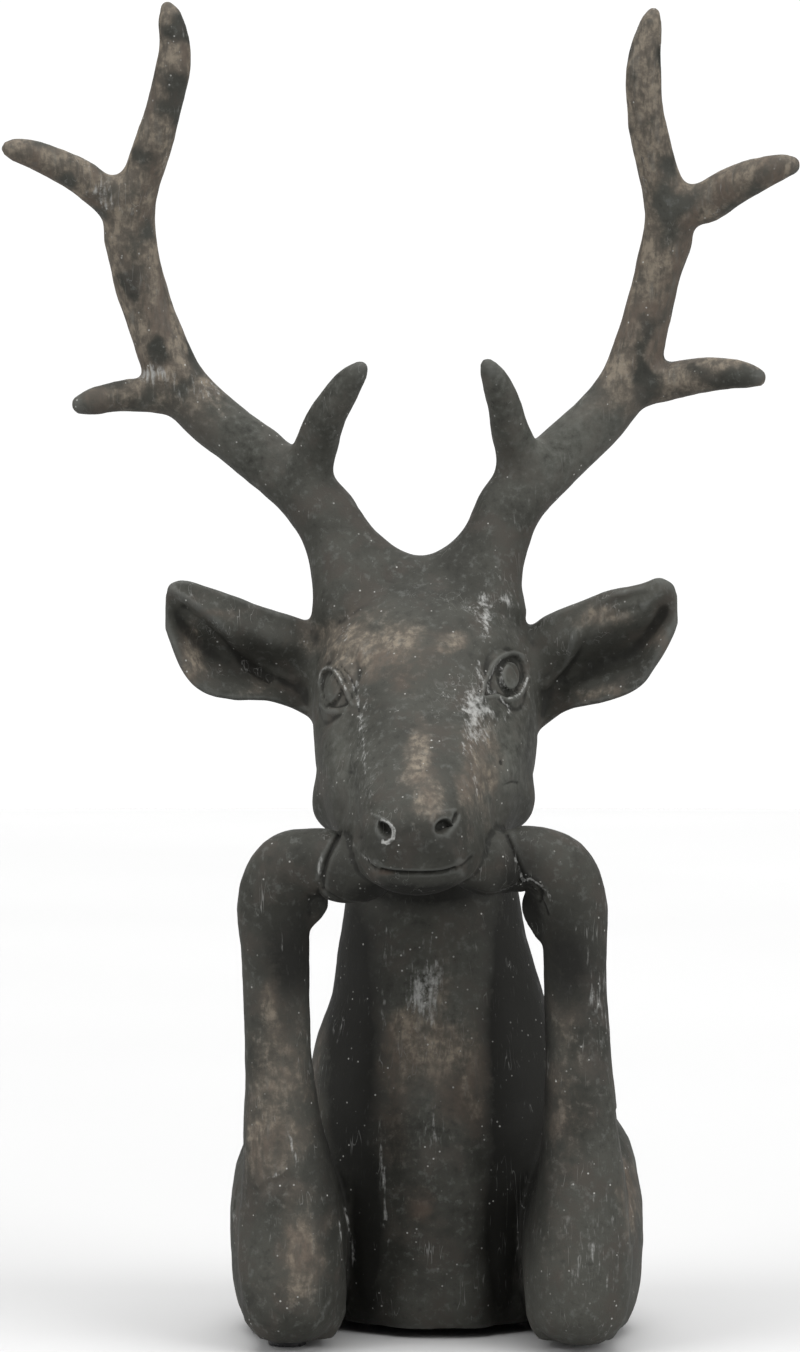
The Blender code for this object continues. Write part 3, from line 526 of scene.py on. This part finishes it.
def masses():
    """Every body that the casting is joined from, in steps."""
    bodies = [limb(TRUNK, power=2.15, sides=48, domes=(0, 0.8)), head(), limb(SADDLE)]
    bodies.append(limb(CHEST, power=2.7, sides=48, domes=(0, 0.5)))
    for i, side in enumerate((-1, 1)):
        bodies.append(limb(FOREARMS[i], domes=(0.75, 0.3)))
        bodies.append(limb(HOOVES[i], power=2.3, domes=(0.2, 0.6)))
        bodies.append(limb(UPPER_ARMS[i], depth_way=(0, 0, 1), power=2.7, domes=(0.6, 0.8)))
        for rows in (WRIST_FOLDS, BEAMS, FORK_TINES, REAR_TINES, BROW_TINES):
            bodies.append(limb(rows[i]))
        bodies.append(ear(EARS[i], side))
    return bodies


def add_object(name, data):
    thing = bpy.data.objects.new(name, data)
    bpy.context.scene.collection.objects.link(thing)
    return thing


def joined(bodies, grain):
    """One closed skin round all the bodies."""
    points, faces, start = [], [], 0
    for spots, sides in bodies:
        points.append(spots)
        faces += [tuple(start + k for k in face) for face in sides]
        start += len(spots)
    mesh = bpy.data.meshes.new("masses")
    mesh.from_pydata(np.vstack(points).tolist(), [], faces)
    rough = add_object("masses", mesh)
    join = rough.modifiers.new("join", "REMESH")
    join.mode = "VOXEL"
    join.voxel_size = grain
    graph = bpy.context.evaluated_depsgraph_get()
    mesh = bpy.data.meshes.new_from_object(rough.evaluated_get(graph))
    bpy.data.objects.remove(rough, do_unlink=True)
    return mesh


def values_of(items, name, width, kind=np.float32):
    flat = np.empty(len(items) * width, kind)
    items.foreach_get(name, flat)
    return flat.reshape(-1, width)


def coordinates(mesh):
    return values_of(mesh.vertices, "co", 3).astype(float)


def edges_of(mesh):
    return values_of(mesh.edges, "vertices", 2, np.int32)


def normals_of(mesh):
    return values_of(mesh.vertex_normals, "vector", 3).astype(float)


def relax(points, edges, weight, rounds):
    """Moves each point towards the middle of its neighbours, by its own weight."""
    many = np.bincount(edges.ravel(), minlength=len(points))[:, None]
    for _ in range(rounds):
        total = np.zeros_like(points)
        for axis in range(3):
            total[:, axis] += np.bincount(edges[:, 0], points[edges[:, 1], axis], len(points))
            total[:, axis] += np.bincount(edges[:, 1], points[edges[:, 0], axis], len(points))
        points = points + weight[:, None] * (total / many - points)
    return points


def near(points, centre, radius):
    """A soft weight, one at the centre and nothing beyond the radius."""
    away = np.linalg.norm(points - np.array(centre), axis=1) / radius
    return np.clip(1 - away**2, 0, 1) ** 2


SPOT_WIDE, SPOT_DEEP = 3.0, 6.0  # how far round and behind a spot its surface is looked for


def foremost(points, x, z):
    """The point of the surface that stands foremost at x, z in front view."""
    away = np.hypot(points[:, 0] - x, points[:, 2] - z)
    ahead = points[away < SPOT_WIDE, 1].min()
    return points[np.argmin(np.where(points[:, 1] < ahead + SPOT_DEEP, away, np.inf))]


def round_spot(points, spot, facing, wide, tall, lean):
    """The way a feature faces, and how far every point is from it, as a share of its half size."""
    facing = unit(np.array(facing))
    aside = unit(np.cross((0.0, 0.0, 1.0), -facing))
    upward = np.cross(facing, aside)
    away = points - foremost(points, *spot)
    turn = np.radians(lean)
    right = away @ aside * np.cos(turn) - away @ upward * np.sin(turn)
    rise = away @ aside * np.sin(turn) + away @ upward * np.cos(turn)
    share = np.hypot(right / wide, rise / tall)
    share[np.abs(away @ facing) > 2 * tall] = 9.0
    return facing, share


def add_eye(points, spot, facing, wide, tall, lean):
    facing, share = round_spot(points, spot, facing, wide, tall, lean)
    ball = EYE_BALL * np.sqrt(np.clip(1 - share**2, 0, 1))
    middle, width = EYE_SOCKET_RING
    hollow = EYE_SOCKET * np.exp(-(((share - middle) / width) ** 2))
    return points + facing * (ball - hollow)[:, None]


def add_nostril(points, spot, facing, wide, tall, lean):
    facing, share = round_spot(points, spot, facing, wide, tall, lean)
    hole = NOSTRIL_DEEP * np.clip(1 - share**2, 0, 1)
    return points - facing * hole[:, None]


def from_line(points, line):
    """Distance in front view from each point to a line of x and z."""
    line = through(line, 4)
    flat = points[:, (0, 2)]
    best = np.full(len(points), np.inf)
    for start, end in zip(line, line[1:]):
        step = end - start
        share = np.clip((flat - start) @ step / (step @ step), 0, 1)
        best = np.minimum(best, np.linalg.norm(flat - start - share[:, None] * step, axis=1))
    return best


def carve(points):
    for centre, reach, way, rise in SWELLINGS:
        points = points + near(points, centre, reach)[:, None] * np.array(way) * rise
    for eye in EYES:
        points = add_eye(points, *eye)
    for nostril in NOSTRILS:
        points = add_nostril(points, *nostril)
    for i, line in enumerate(HOOF_LINES):
        centre = np.array(HOOVES[i][0][:3])
        away = from_line(points, line)
        hand = np.linalg.norm(points - centre, axis=1) < HOOF_CUT_REACH
        inward = unit(centre - points)
        cut = HOOF_CUT * np.exp(-((away / HOOF_CUT_WIDTH) ** 2)) * hand
        points = points + cut[:, None] * inward
    return points


SMOOTHING = (0.5, 2)  # how strongly, and for how many rounds of the solid's grain
BLENDING = (0.6, 40)
# Where masses blend into each other, and how far round.
BLENDS = (
    ((-60, 6, 382), 26), ((38, 6, 382), 26), ((-118, 15, 420), 22), ((88, 15, 422), 24),
    ((-136, 4, 504), 24), ((103, 4, 500), 24), ((-20, -8, 345), 34), ((12, -8, 345), 34),
    ((-52, -12, 292), 30), ((44, -12, 290), 30), ((-50, 20, 95), 45), ((52, 20, 95), 45),
    ((-4, 34, 326), 50), ((-4, 46, 290), 50), ((-62, 58, 55), 52), ((64, 58, 55), 52),
    ((-40, 76, 30), 40), ((42, 76, 30), 40),
)


def coarse_to_fine(rounds):
    """Rounds of relaxing that move this grain as far as the given ones move the solid's."""
    return round(rounds * (SOLID_GRAIN / GRAIN) ** 2)


def soften(points, edges):
    """Smooths the whole skin a little, and more where the masses meet."""
    weight = np.zeros(len(points))
    for centre, radius in BLENDS:
        weight = np.maximum(weight, near(points, centre, radius))
    amount, rounds = SMOOTHING
    points = relax(points, edges, amount * np.ones(len(points)), coarse_to_fine(rounds))
    amount, rounds = BLENDING
    return relax(points, edges, amount * weight, coarse_to_fine(rounds))


def place(mesh, points):
    mesh.vertices.foreach_set("co", np.ascontiguousarray(points, np.float32).ravel())
    mesh.update()


DETAIL_ROUNDS = 8  # of smoothing the finer mesh


def in_detail(points):
    """True where the face, the hooves and the wrists need a finer mesh."""
    x, y, z = points.T
    return (y < -22) & (z > 178) & (z < 345) & (np.abs(x + 4) < 66)


def refine(mesh):
    """Splits each face of the detailed region in four."""
    work = bmesh.new()
    work.from_mesh(mesh)
    centres = np.array([face.calc_center_median() for face in work.faces])
    work.faces.ensure_lookup_table()
    edges = {edge for i in np.flatnonzero(in_detail(centres)) for edge in work.faces[i].edges}
    bmesh.ops.subdivide_edges(work, edges=list(edges), cuts=1, use_grid_fill=True)
    work.to_mesh(mesh)
    work.free()


def reached(points, front, deepest, reach, line):
    """The numbers of the front points that a line can reach."""
    low, high = np.min(line, axis=0) - reach, np.max(line, axis=0) + reach
    inside = front & (points[:, 1] < deepest)
    inside &= (points[:, 0] > low[0]) & (points[:, 0] < high[0])
    inside &= (points[:, 2] > low[1]) & (points[:, 2] < high[1])
    return np.flatnonzero(inside)


def within(points, outline):
    """True where a point lies inside a closed outline of x and z in front view."""
    x, z = points[:, 0], points[:, 2]
    odd = np.zeros(len(points), bool)
    for (x0, z0), (x1, z1) in zip(outline, outline[1:]):
        crosses = (z0 > z) != (z1 > z)
        odd ^= crosses & (x < x0 + (z - z0) * (x1 - x0) / (z1 - z0 + 1e-9))
    return odd


def engrave(points, normals):
    """Cuts and raises the drawn lines and the chips."""
    push = np.zeros(len(points))
    front = normals[:, 1] < FRONT
    for rise, width, deepest, line in MARKS:
        some = reached(points, front, deepest, 3 * width, line)
        push[some] += rise * np.exp(-((from_line(points[some], line) / width) ** 2))
    for rise, edge, deepest, outline in FIELDS:
        some, outline = reached(points, front, deepest, edge, outline), outline + outline[:1]
        away = from_line(points[some], outline)
        signed = np.where(within(points[some], through(outline, 4)), away, -away)
        push[some] += rise * smoothstep(signed, -edge / 2, edge / 2)
    for x, z, reach, depth in CHIPS:
        away = np.linalg.norm(points - foremost(points, x, z), axis=1) / reach
        push -= depth * np.clip(1 - away**2, 0, 1)
    return points + push[:, None] * normals


BROAD_WAVE, BROAD_RISE = 17, 0.55  # length and height of the broad unevenness, in steps
DAB_WAVE, DAB_RISE = 5.5, 0.16
DAB_SHIFT = Vector((40, 0, 0))
DETAIL_SHARE = 0.6  # how much of both the finely worked places keep


def weather(points, normals):
    """Hand-modelled unevenness: broad swells and smaller dabs."""
    broad = [noise.noise(Vector(p) / BROAD_WAVE) for p in points]
    dabs = [noise.noise(Vector(p) / DAB_WAVE + DAB_SHIFT) for p in points]
    push = BROAD_RISE * np.array(broad) + DAB_RISE * np.array(dabs)
    push *= np.where(in_detail(points), DETAIL_SHARE, 1.0)
    return points + push[:, None] * normals


def bending(points, normals, edges):
    """How sharply the surface turns outwards (+) or inwards (-), as one over a radius in steps."""
    many = np.bincount(edges.ravel(), minlength=len(points))
    across = points[edges[:, 1]] - points[edges[:, 0]]
    square = (across**2).sum(axis=1)
    squares = np.bincount(edges[:, 0], square, len(points))
    squares += np.bincount(edges[:, 1], square, len(points))
    moved = relax(points, edges, np.ones(len(points)), 1) - points
    return -4 * (moved * normals).sum(axis=1) / (squares / many)


def spread(values, edges, rounds):
    """The values smoothed along the surface."""
    columns = np.repeat(values[:, None], 3, axis=1)
    return relax(columns, edges, 0.6 * np.ones(len(values)), rounds)[:, 0]


def smoothstep(values, low, high):
    share = np.clip((values - low) / (high - low), 0, 1)
    return share * share * (3 - 2 * share)


BEND_ROUNDS = 6  # over which the bend is smoothed
RUBBED_BEND = (0.13, 0.42)  # how sharply the surface turns outwards where it is rubbed
# painted shade: where the surface turns inwards, the hollows and creases are darkened
HOLLOW_BEND = (0.04, 0.30)  # and inwards where it is dark


def wear_and_painted_shading(points, normals, edges):
    """How tan, pale, rusty or rubbed the surface is, and where light and shade are painted, in the
    hollows too.
    """
    x, y, z = points.T
    noise.seed_set(SWAY_SEED)
    sway = np.array([noise.noise_vector(Vector(p) / PATCH_WAVE) for p in points])
    sway_x, sway_z = PATCH_SWAY * sway[:, 0], PATCH_SWAY * sway[:, 2]
    # this holds the places of painted light and painted shade as well as the wear
    worn = {kind: np.zeros(len(points)) for kind in FACING}
    for (kind, side), places in PATCHES.items():
        share = STEADY.get(kind, 1.0)
        facing = smoothstep(side * normals[:, 1], *FACING[kind])
        for at_x, at_z, wide, tall, strength in places:
            away = ((x + share * sway_x - at_x) / wide) ** 2
            away = away + ((z + share * sway_z - at_z) / tall) ** 2
            there = strength * np.exp(-PATCH_FADE * away) * facing
            worn[kind] = np.maximum(worn[kind], there)
    low, high, much = ANTLER_TAN
    antlers = much * smoothstep(z, low, high) * smoothstep(np.abs(x + 5), *ANTLER_OUT)
    antlers = antlers * np.clip(1 + ANTLER_BLOTCH * sway[:, 1], 0, ANTLER_MOST)
    for at_x, at_z, wide, tall, strength in BARE:
        away = ((x - at_x) / wide) ** 2 + ((z - at_z) / tall) ** 2
        antlers = antlers * (1 - strength * np.exp(-away))
    worn["tan"] = np.maximum(worn["tan"], antlers)
    facing = smoothstep(-normals[:, 1], 0.0, 0.3)
    for strength, width, line in STREAKS:
        line_at = strength * np.exp(-((from_line(points, line) / width) ** 2)) * facing
        worn["pale"] = np.maximum(worn["pale"], line_at)
    turn = spread(bending(points, normals, edges), edges, BEND_ROUNDS)
    worn["rubbed"] = smoothstep(turn, *RUBBED_BEND)
    # painted shade in the hollows and creases
    worn["hollow"] = smoothstep(-turn, *HOLLOW_BEND)
    return worn


def to_world(points):
    """From steps round the body's middle to metres on the table."""
    placed = points + np.array((MIDDLE[0], MIDDLE[1], 0.0))
    return placed * STEP + np.array((0.0, 0.0, LIFT))


def deer():
    """The casting with its fine relief, as one closed mesh that carries its wear and its painted
    light and shade.
    """
    mesh = joined(masses(), GRAIN)
    place(mesh, soften(coordinates(mesh), edges_of(mesh)))
    refine(mesh)
    edges = edges_of(mesh)
    points = coordinates(mesh)
    points = relax(points, edges, 0.5 * in_detail(points), DETAIL_ROUNDS)
    points = carve(points)
    place(mesh, points)
    points = engrave(points, normals_of(mesh))
    place(mesh, points)
    points = weather(points, normals_of(mesh))
    points[:, 2] = np.maximum(points[:, 2], 0.0)
    place(mesh, points)
    for kind, values in wear_and_painted_shading(points, normals_of(mesh), edges).items():
        layer = mesh.attributes.new(kind, "FLOAT", "POINT")
        layer.data.foreach_set("value", values.astype(np.float32))
    place(mesh, to_world(points))
    thing = add_object("deer_casting", mesh)
    thin = thing.modifiers.new("thin", "DECIMATE")
    mesh.calc_loop_triangles()
    thin.ratio = TRIANGLES / len(mesh.loop_triangles)
    thin.use_collapse_triangulate = True
    graph = bpy.context.evaluated_depsgraph_get()
    thinned = bpy.data.meshes.new_from_object(thing.evaluated_get(graph))
    thing.modifiers.clear()
    thing.data = thinned
    thing.data.name = "deer_casting"
    shade_smooth(thing)
    return thing


def shade_smooth(thing):
    thing.data.polygons.foreach_set("use_smooth", [True] * len(thing.data.polygons))
    thing.data.update()


class Shading:
    """Short calls that build one material's nodes."""

    def __init__(self, name):
        self.material = bpy.data.materials.new(name)
        self.material.use_nodes = True
        self.tree = self.material.node_tree
        self.shader = self.tree.nodes["Principled BSDF"]
        self.place = self.add("ShaderNodeTexCoord").outputs["Object"]

    def add(self, kind, inputs=(), **settings):
        node = self.tree.nodes.new(kind)
        for name, value in settings.items():
            setattr(node, name, value)
        for key, value in dict(inputs).items():
            self.put(node.inputs[key], value)
        return node

    def put(self, socket, value):
        if isinstance(value, bpy.types.NodeSocket):
            self.tree.links.new(value, socket)
        else:
            socket.default_value = value

    def mottle(self, size, detail=4.0, roughness=0.55, stretch=(1, 1, 1), shift=0.0):
        """Noise whose blots are about this size in metres."""
        inputs = {"Vector": self.place, "Location": (shift, 0, 0), "Scale": stretch}
        moved = self.add("ShaderNodeMapping", inputs).outputs[0]
        inputs = {"Vector": moved, "Scale": 0.5 / size, "Detail": detail, "Roughness": roughness}
        return self.add("ShaderNodeTexNoise", inputs).outputs["Fac"]

    def give(self, name, value):
        self.put(self.shader.inputs[name], value)

    def relief(self, height, strength, deep):
        """Fine bumps of this depth in metres."""
        inputs = {"Height": height, "Strength": strength, "Distance": deep}
        self.give("Normal", self.add("ShaderNodeBump", inputs).outputs[0])

    def maths(self, way, *values):
        return self.add("ShaderNodeMath", dict(enumerate(values)), operation=way).outputs[0]

    def times(self, first, second):
        return self.maths("MULTIPLY", first, second)

    def step(self, value, low, high, top=1.0):
        """0 below low and top above high, with a smooth way between."""
        inputs = {"Value": value, "From Min": low, "From Max": high, "To Min": 0.0, "To Max": top}
        return self.add("ShaderNodeMapRange", inputs, interpolation_type="SMOOTHSTEP").outputs[0]

    def blend(self, share, under, over):
        node = self.add("ShaderNodeMix", data_type="RGBA")
        self.put(node.inputs["Factor"], share)
        self.put(node.inputs[6], colour(under))
        self.put(node.inputs[7], colour(over))
        return node.outputs[2]

    def attribute(self, name):
        return self.add("ShaderNodeAttribute", attribute_name=name).outputs["Fac"]

    def ragged(self, name, noise, reach=1.6, low=0.20, high=0.95):
        """A worn place with its edge broken up by noise."""
        shifted = self.maths("MULTIPLY_ADD", noise, reach, -0.5 * reach)
        value = self.maths("ADD", self.attribute(name), shifted)
        return self.step(value, low, high)


def colour(value):
    return (*value, 1.0) if isinstance(value, tuple) else value


CHARCOAL = (0.0235, 0.0235, 0.0192)
CHARCOAL_LIGHT = (0.0460, 0.0460, 0.0392)
HAZE = (0.043, 0.038, 0.032)
# the deepest tone, of the stone's own dark specks and of the painted shade
DEEP = (0.0072, 0.0071, 0.0056)
RUST = (0.062, 0.045, 0.034)
TAN = (0.172, 0.146, 0.113)
TAN_DARK = (0.078, 0.067, 0.054)
BROWN = (0.074, 0.058, 0.046)
PALE = (0.32, 0.322, 0.31)
RUBBED = (0.092, 0.095, 0.088)
# a lighter grey for the painted light
PAINTED_LIGHT_GREY = (0.088, 0.090, 0.078)
SPECK = (0.38, 0.38, 0.36)

STONE_ROUGHNESS = 0.68  # of the least dusty stone
STONE_GLOSS = 0.22
SPECKS_PER_METRE = 290.0
SCRATCH_TURNS = ((0.5, 0.0), (-0.9, 2.3), (1.5, 4.1))  # slant, and shift of the noise
SCRATCHES_PER_METRE = 230.0


def cast_stone():
    """Matt charcoal stone, worn tan and white, with specks, scratches and fine pits, and with
    painted light and painted shade.
    """
    s = Shading("weathered_dark_cast_stone")
    cloud = s.mottle(0.030, 5.0, 0.6)
    blot = s.mottle(0.0085, 6.0, 0.62, shift=0.3)
    crumb = s.mottle(0.0020, 5.0, 0.65, shift=0.7)
    grit = s.mottle(0.0007, 3.0, 0.6, shift=1.1)
    runs = s.mottle(0.0022, 4.0, 0.6, stretch=(1, 1, 0.16), shift=1.7)
    edge = s.maths("MULTIPLY_ADD", crumb, 0.6, s.times(blot, 0.4))
    hair = s.mottle(0.0012, 3.0, 0.6, stretch=(1, 1, 0.30), shift=2.9)

    skin = s.blend(s.step(cloud, 0.40, 0.60), CHARCOAL, CHARCOAL_LIGHT)
    skin = s.blend(s.step(blot, 0.46, 0.64, 0.75), skin, HAZE)
    skin = s.blend(s.step(crumb, 0.52, 0.70, 0.50), skin, RUBBED)
    skin = s.blend(s.step(edge, 0.46, 0.34, 0.35), skin, DEEP)
    skin = s.blend(s.step(s.attribute("rubbed"), 0.0, 1.0, 0.45), skin, RUBBED)
    # painted light: the listed lit places turn a lighter grey
    painted_light_share = s.times(s.attribute("light"), s.step(edge, 0.30, 0.60, 0.85))
    skin = s.blend(painted_light_share, skin, PAINTED_LIGHT_GREY)
    rust = s.ragged("rust", edge)
    skin = s.blend(s.times(rust, 0.75), skin, RUST)
    warm = s.blend(s.step(edge, 0.40, 0.60), TAN_DARK, TAN)
    smear = s.mottle(0.010, 4.0, 0.6, stretch=(1, 1, 0.45), shift=4.3)
    warm = s.blend(s.step(smear, 0.48, 0.60, 0.80), warm, BROWN)
    warm = s.blend(s.step(runs, 0.52, 0.74, 0.5), warm, RUBBED)
    tan = s.ragged("tan", edge)
    stain = s.ragged("tan", blot, 1.2, 0.05, 0.80)
    skin = s.blend(s.times(stain, 0.65), skin, TAN_DARK)
    skin = s.blend(s.times(tan, s.step(hair, 0.30, 0.54)), skin, warm)
    # painted shade: the listed shaded places are darkened nearly to the deepest tone
    painted_shade_share = s.times(s.attribute("dark"), s.step(edge, 0.25, 0.50, 0.94))
    skin = s.blend(painted_shade_share, skin, DEEP)
    # painted shade: the hollows and creases are darkened
    skin = s.blend(s.step(s.attribute("hollow"), 0.0, 1.0, 0.75), skin, DEEP)
    strands = s.mottle(0.0008, 3.0, 0.6, stretch=(1, 1, 0.15), shift=2.2)
    pale = s.ragged("pale", strands, 1.8, 0.26, 0.80)
    skin = s.blend(s.times(pale, s.step(crumb, 0.34, 0.62, 0.80)), skin, PALE)

    specks = s.add("ShaderNodeTexVoronoi", {"Vector": s.place, "Scale": SPECKS_PER_METRE})
    chosen = s.step(specks.outputs["Color"], 0.58, 0.62)
    dot = s.maths("SUBTRACT", 1.0, s.step(specks.outputs["Distance"], 0.08, 0.16))
    dot = s.times(dot, chosen)
    skin = s.blend(s.times(dot, s.step(blot, 0.42, 0.60, 0.75)), skin, SPECK)
    for turn, shift in SCRATCH_TURNS:
        skin = scratches(s, skin, turn, shift)

    s.give("Base Color", skin)
    rougher = s.maths("MULTIPLY_ADD", pale, 0.12, s.step(cloud, 0.3, 0.7, 0.12))
    s.give("Roughness", s.maths("ADD", rougher, STONE_ROUGHNESS))
    s.give("Specular IOR Level", STONE_GLOSS)
    height = s.maths("ADD", s.times(crumb, 0.6), s.times(grit, 0.35))
    s.relief(s.maths("ADD", height, s.times(blot, 0.8)), 0.5, 0.0006)
    return s.material


def scratches(s, skin, turn, shift):
    """Short thin pale strokes, all at about the same slant."""
    inputs = {"Vector": s.place, "Location": (shift, shift, 0)}
    inputs |= {"Rotation": (0, turn, 0), "Scale": (1.0, 1.0, 0.10)}
    slanted = s.add("ShaderNodeMapping", inputs).outputs[0]
    inputs = {"Vector": slanted, "Scale": SCRATCHES_PER_METRE, "Detail": 2.0}
    wavy = s.add("ShaderNodeTexNoise", inputs).outputs["Fac"]
    line = s.maths("ABSOLUTE", s.maths("SUBTRACT", wavy, 0.5))
    line = s.maths("SUBTRACT", 1.0, s.step(line, 0.002, 0.010))
    where = s.step(s.mottle(0.012, 2.0, shift=shift + 5.0), 0.61, 0.70, 0.28)
    return s.blend(s.times(line, where), skin, PALE)


RUBBER = (0.010, 0.010, 0.011)
RUBBER_BLOOM = (0.026, 0.026, 0.027)


def rubber():
    """Dull black rubber with a faint bloom."""
    s = Shading("black_rubber_pad")
    bloom = s.mottle(0.002, 4.0, 0.6)
    s.give("Base Color", s.blend(s.step(bloom, 0.4, 0.7), RUBBER, RUBBER_BLOOM))
    s.give("Roughness", s.step(bloom, 0.2, 0.8, 0.75))
    s.relief(bloom, 0.2, 0.0002)
    return s.material


FLOOR_RADIUS = 5.0
FLOOR = (0.49, 0.49, 0.49)
FLOOR_BRIGHTER = 1.03  # in its lightest places


def floor():
    """A plain pale floor."""
    work = bmesh.new()
    bmesh.ops.create_circle(work, cap_ends=True, segments=96, radius=FLOOR_RADIUS)
    mesh = bpy.data.meshes.new("floor")
    work.to_mesh(mesh)
    work.free()
    thing = add_object("floor", mesh)
    s = Shading("plain_white_floor")
    tone = s.step(s.mottle(0.6, 2.0), 0.3, 0.7)
    lightest = tuple(FLOOR_BRIGHTER * v for v in FLOOR)
    s.give("Base Color", s.blend(tone, FLOOR, lightest))
    s.give("Roughness", 0.9)
    s.give("Specular IOR Level", 0.1)
    mesh.materials.append(s.material)


WORLD_LIGHT = 0.14  # what the white surroundings give to surfaces
WORLD_SEEN = 1.05  # how bright they look


def surroundings():
    world = bpy.data.worlds.new("white_room")
    world.use_nodes = True
    tree = world.node_tree
    light = tree.nodes["Background"]
    seen = tree.nodes.new("ShaderNodeBackground")
    for node, strength in ((light, WORLD_LIGHT), (seen, WORLD_SEEN)):
        node.inputs["Strength"].default_value = strength
        node.inputs["Color"].default_value = (1, 1, 1, 1)
    path = tree.nodes.new("ShaderNodeLightPath")
    choose = tree.nodes.new("ShaderNodeMixShader")
    tree.links.new(path.outputs["Is Camera Ray"], choose.inputs[0])
    tree.links.new(light.outputs[0], choose.inputs[1])
    tree.links.new(seen.outputs[0], choose.inputs[2])
    tree.links.new(choose.outputs[0], tree.nodes["World Output"].inputs["Surface"])
    bpy.context.scene.world = world
    bpy.context.scene.view_settings.view_transform = "Standard"


# Broad soft lights: name, azimuth from straight ahead of the deer, height, strength, spread.
LIGHTS = (
    ("overhead", 0.0, 82.0, 3.2, 60.0),
    ("left_side", -56.0, 26.0, 2.0, 45.0),
    ("right_side", 56.0, 26.0, 2.25, 45.0),
    ("behind", 180.0, 32.0, 1.3, 60.0),
)


def lights():
    for name, azimuth, high, strength, spread_angle in LIGHTS:
        lamp = bpy.data.lights.new(name, "SUN")
        lamp.energy = strength
        lamp.angle = np.radians(spread_angle)
        thing = add_object(name, lamp)
        aside, high = np.radians(azimuth), np.radians(high)
        flat = Vector((np.sin(aside), -np.cos(aside), 0.0))
        towards = flat * np.cos(high) + Vector((0, 0, np.sin(high)))
        thing.rotation_euler = (-towards).to_track_quat("-Z", "Y").to_euler()


PHOTO = (800, 1352)
PIXEL = 0.4502  # of the photograph at the camera's distance, in steps
CAMERA_AWAY = 2200.0  # steps
CAMERA_HIGH = 334.7  # above the casting's underside, in steps
CAMERA_TURN = np.radians(2.0)
LOW_ROWS = 100  # the photograph's middle lies this many rows under the horizon
SENSOR = 36.0


def camera():
    data = bpy.data.cameras.new("camera")
    data.sensor_fit = "VERTICAL"
    data.sensor_height = SENSOR
    data.lens = SENSOR * CAMERA_AWAY / (PHOTO[1] * PIXEL)
    thing = add_object("camera", data)
    tilt = np.arctan(LOW_ROWS * PIXEL / CAMERA_AWAY)
    flat = Vector((-np.sin(CAMERA_TURN), np.cos(CAMERA_TURN), 0.0))
    ahead = flat * np.cos(tilt) - Vector((0, 0, np.sin(tilt)))
    thing.location = -flat * CAMERA_AWAY * STEP
    thing.location.y += MIDDLE[1] * STEP
    thing.location.z = CAMERA_HIGH * STEP + LIFT
    thing.rotation_euler = ahead.to_track_quat("-Z", "Y").to_euler()
    bpy.context.scene.camera = thing


def main():
    camera()
    surroundings()
    lights()
    floor()
    body = deer()
    body.data.materials.clear()
    body.data.materials.append(cast_stone())
    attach(body, "root")
    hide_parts("deer")
    pads = rubber()
    for name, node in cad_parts.items():
        if name.startswith("foot_pad"):
            node.material_slots[0].material = pads


main()
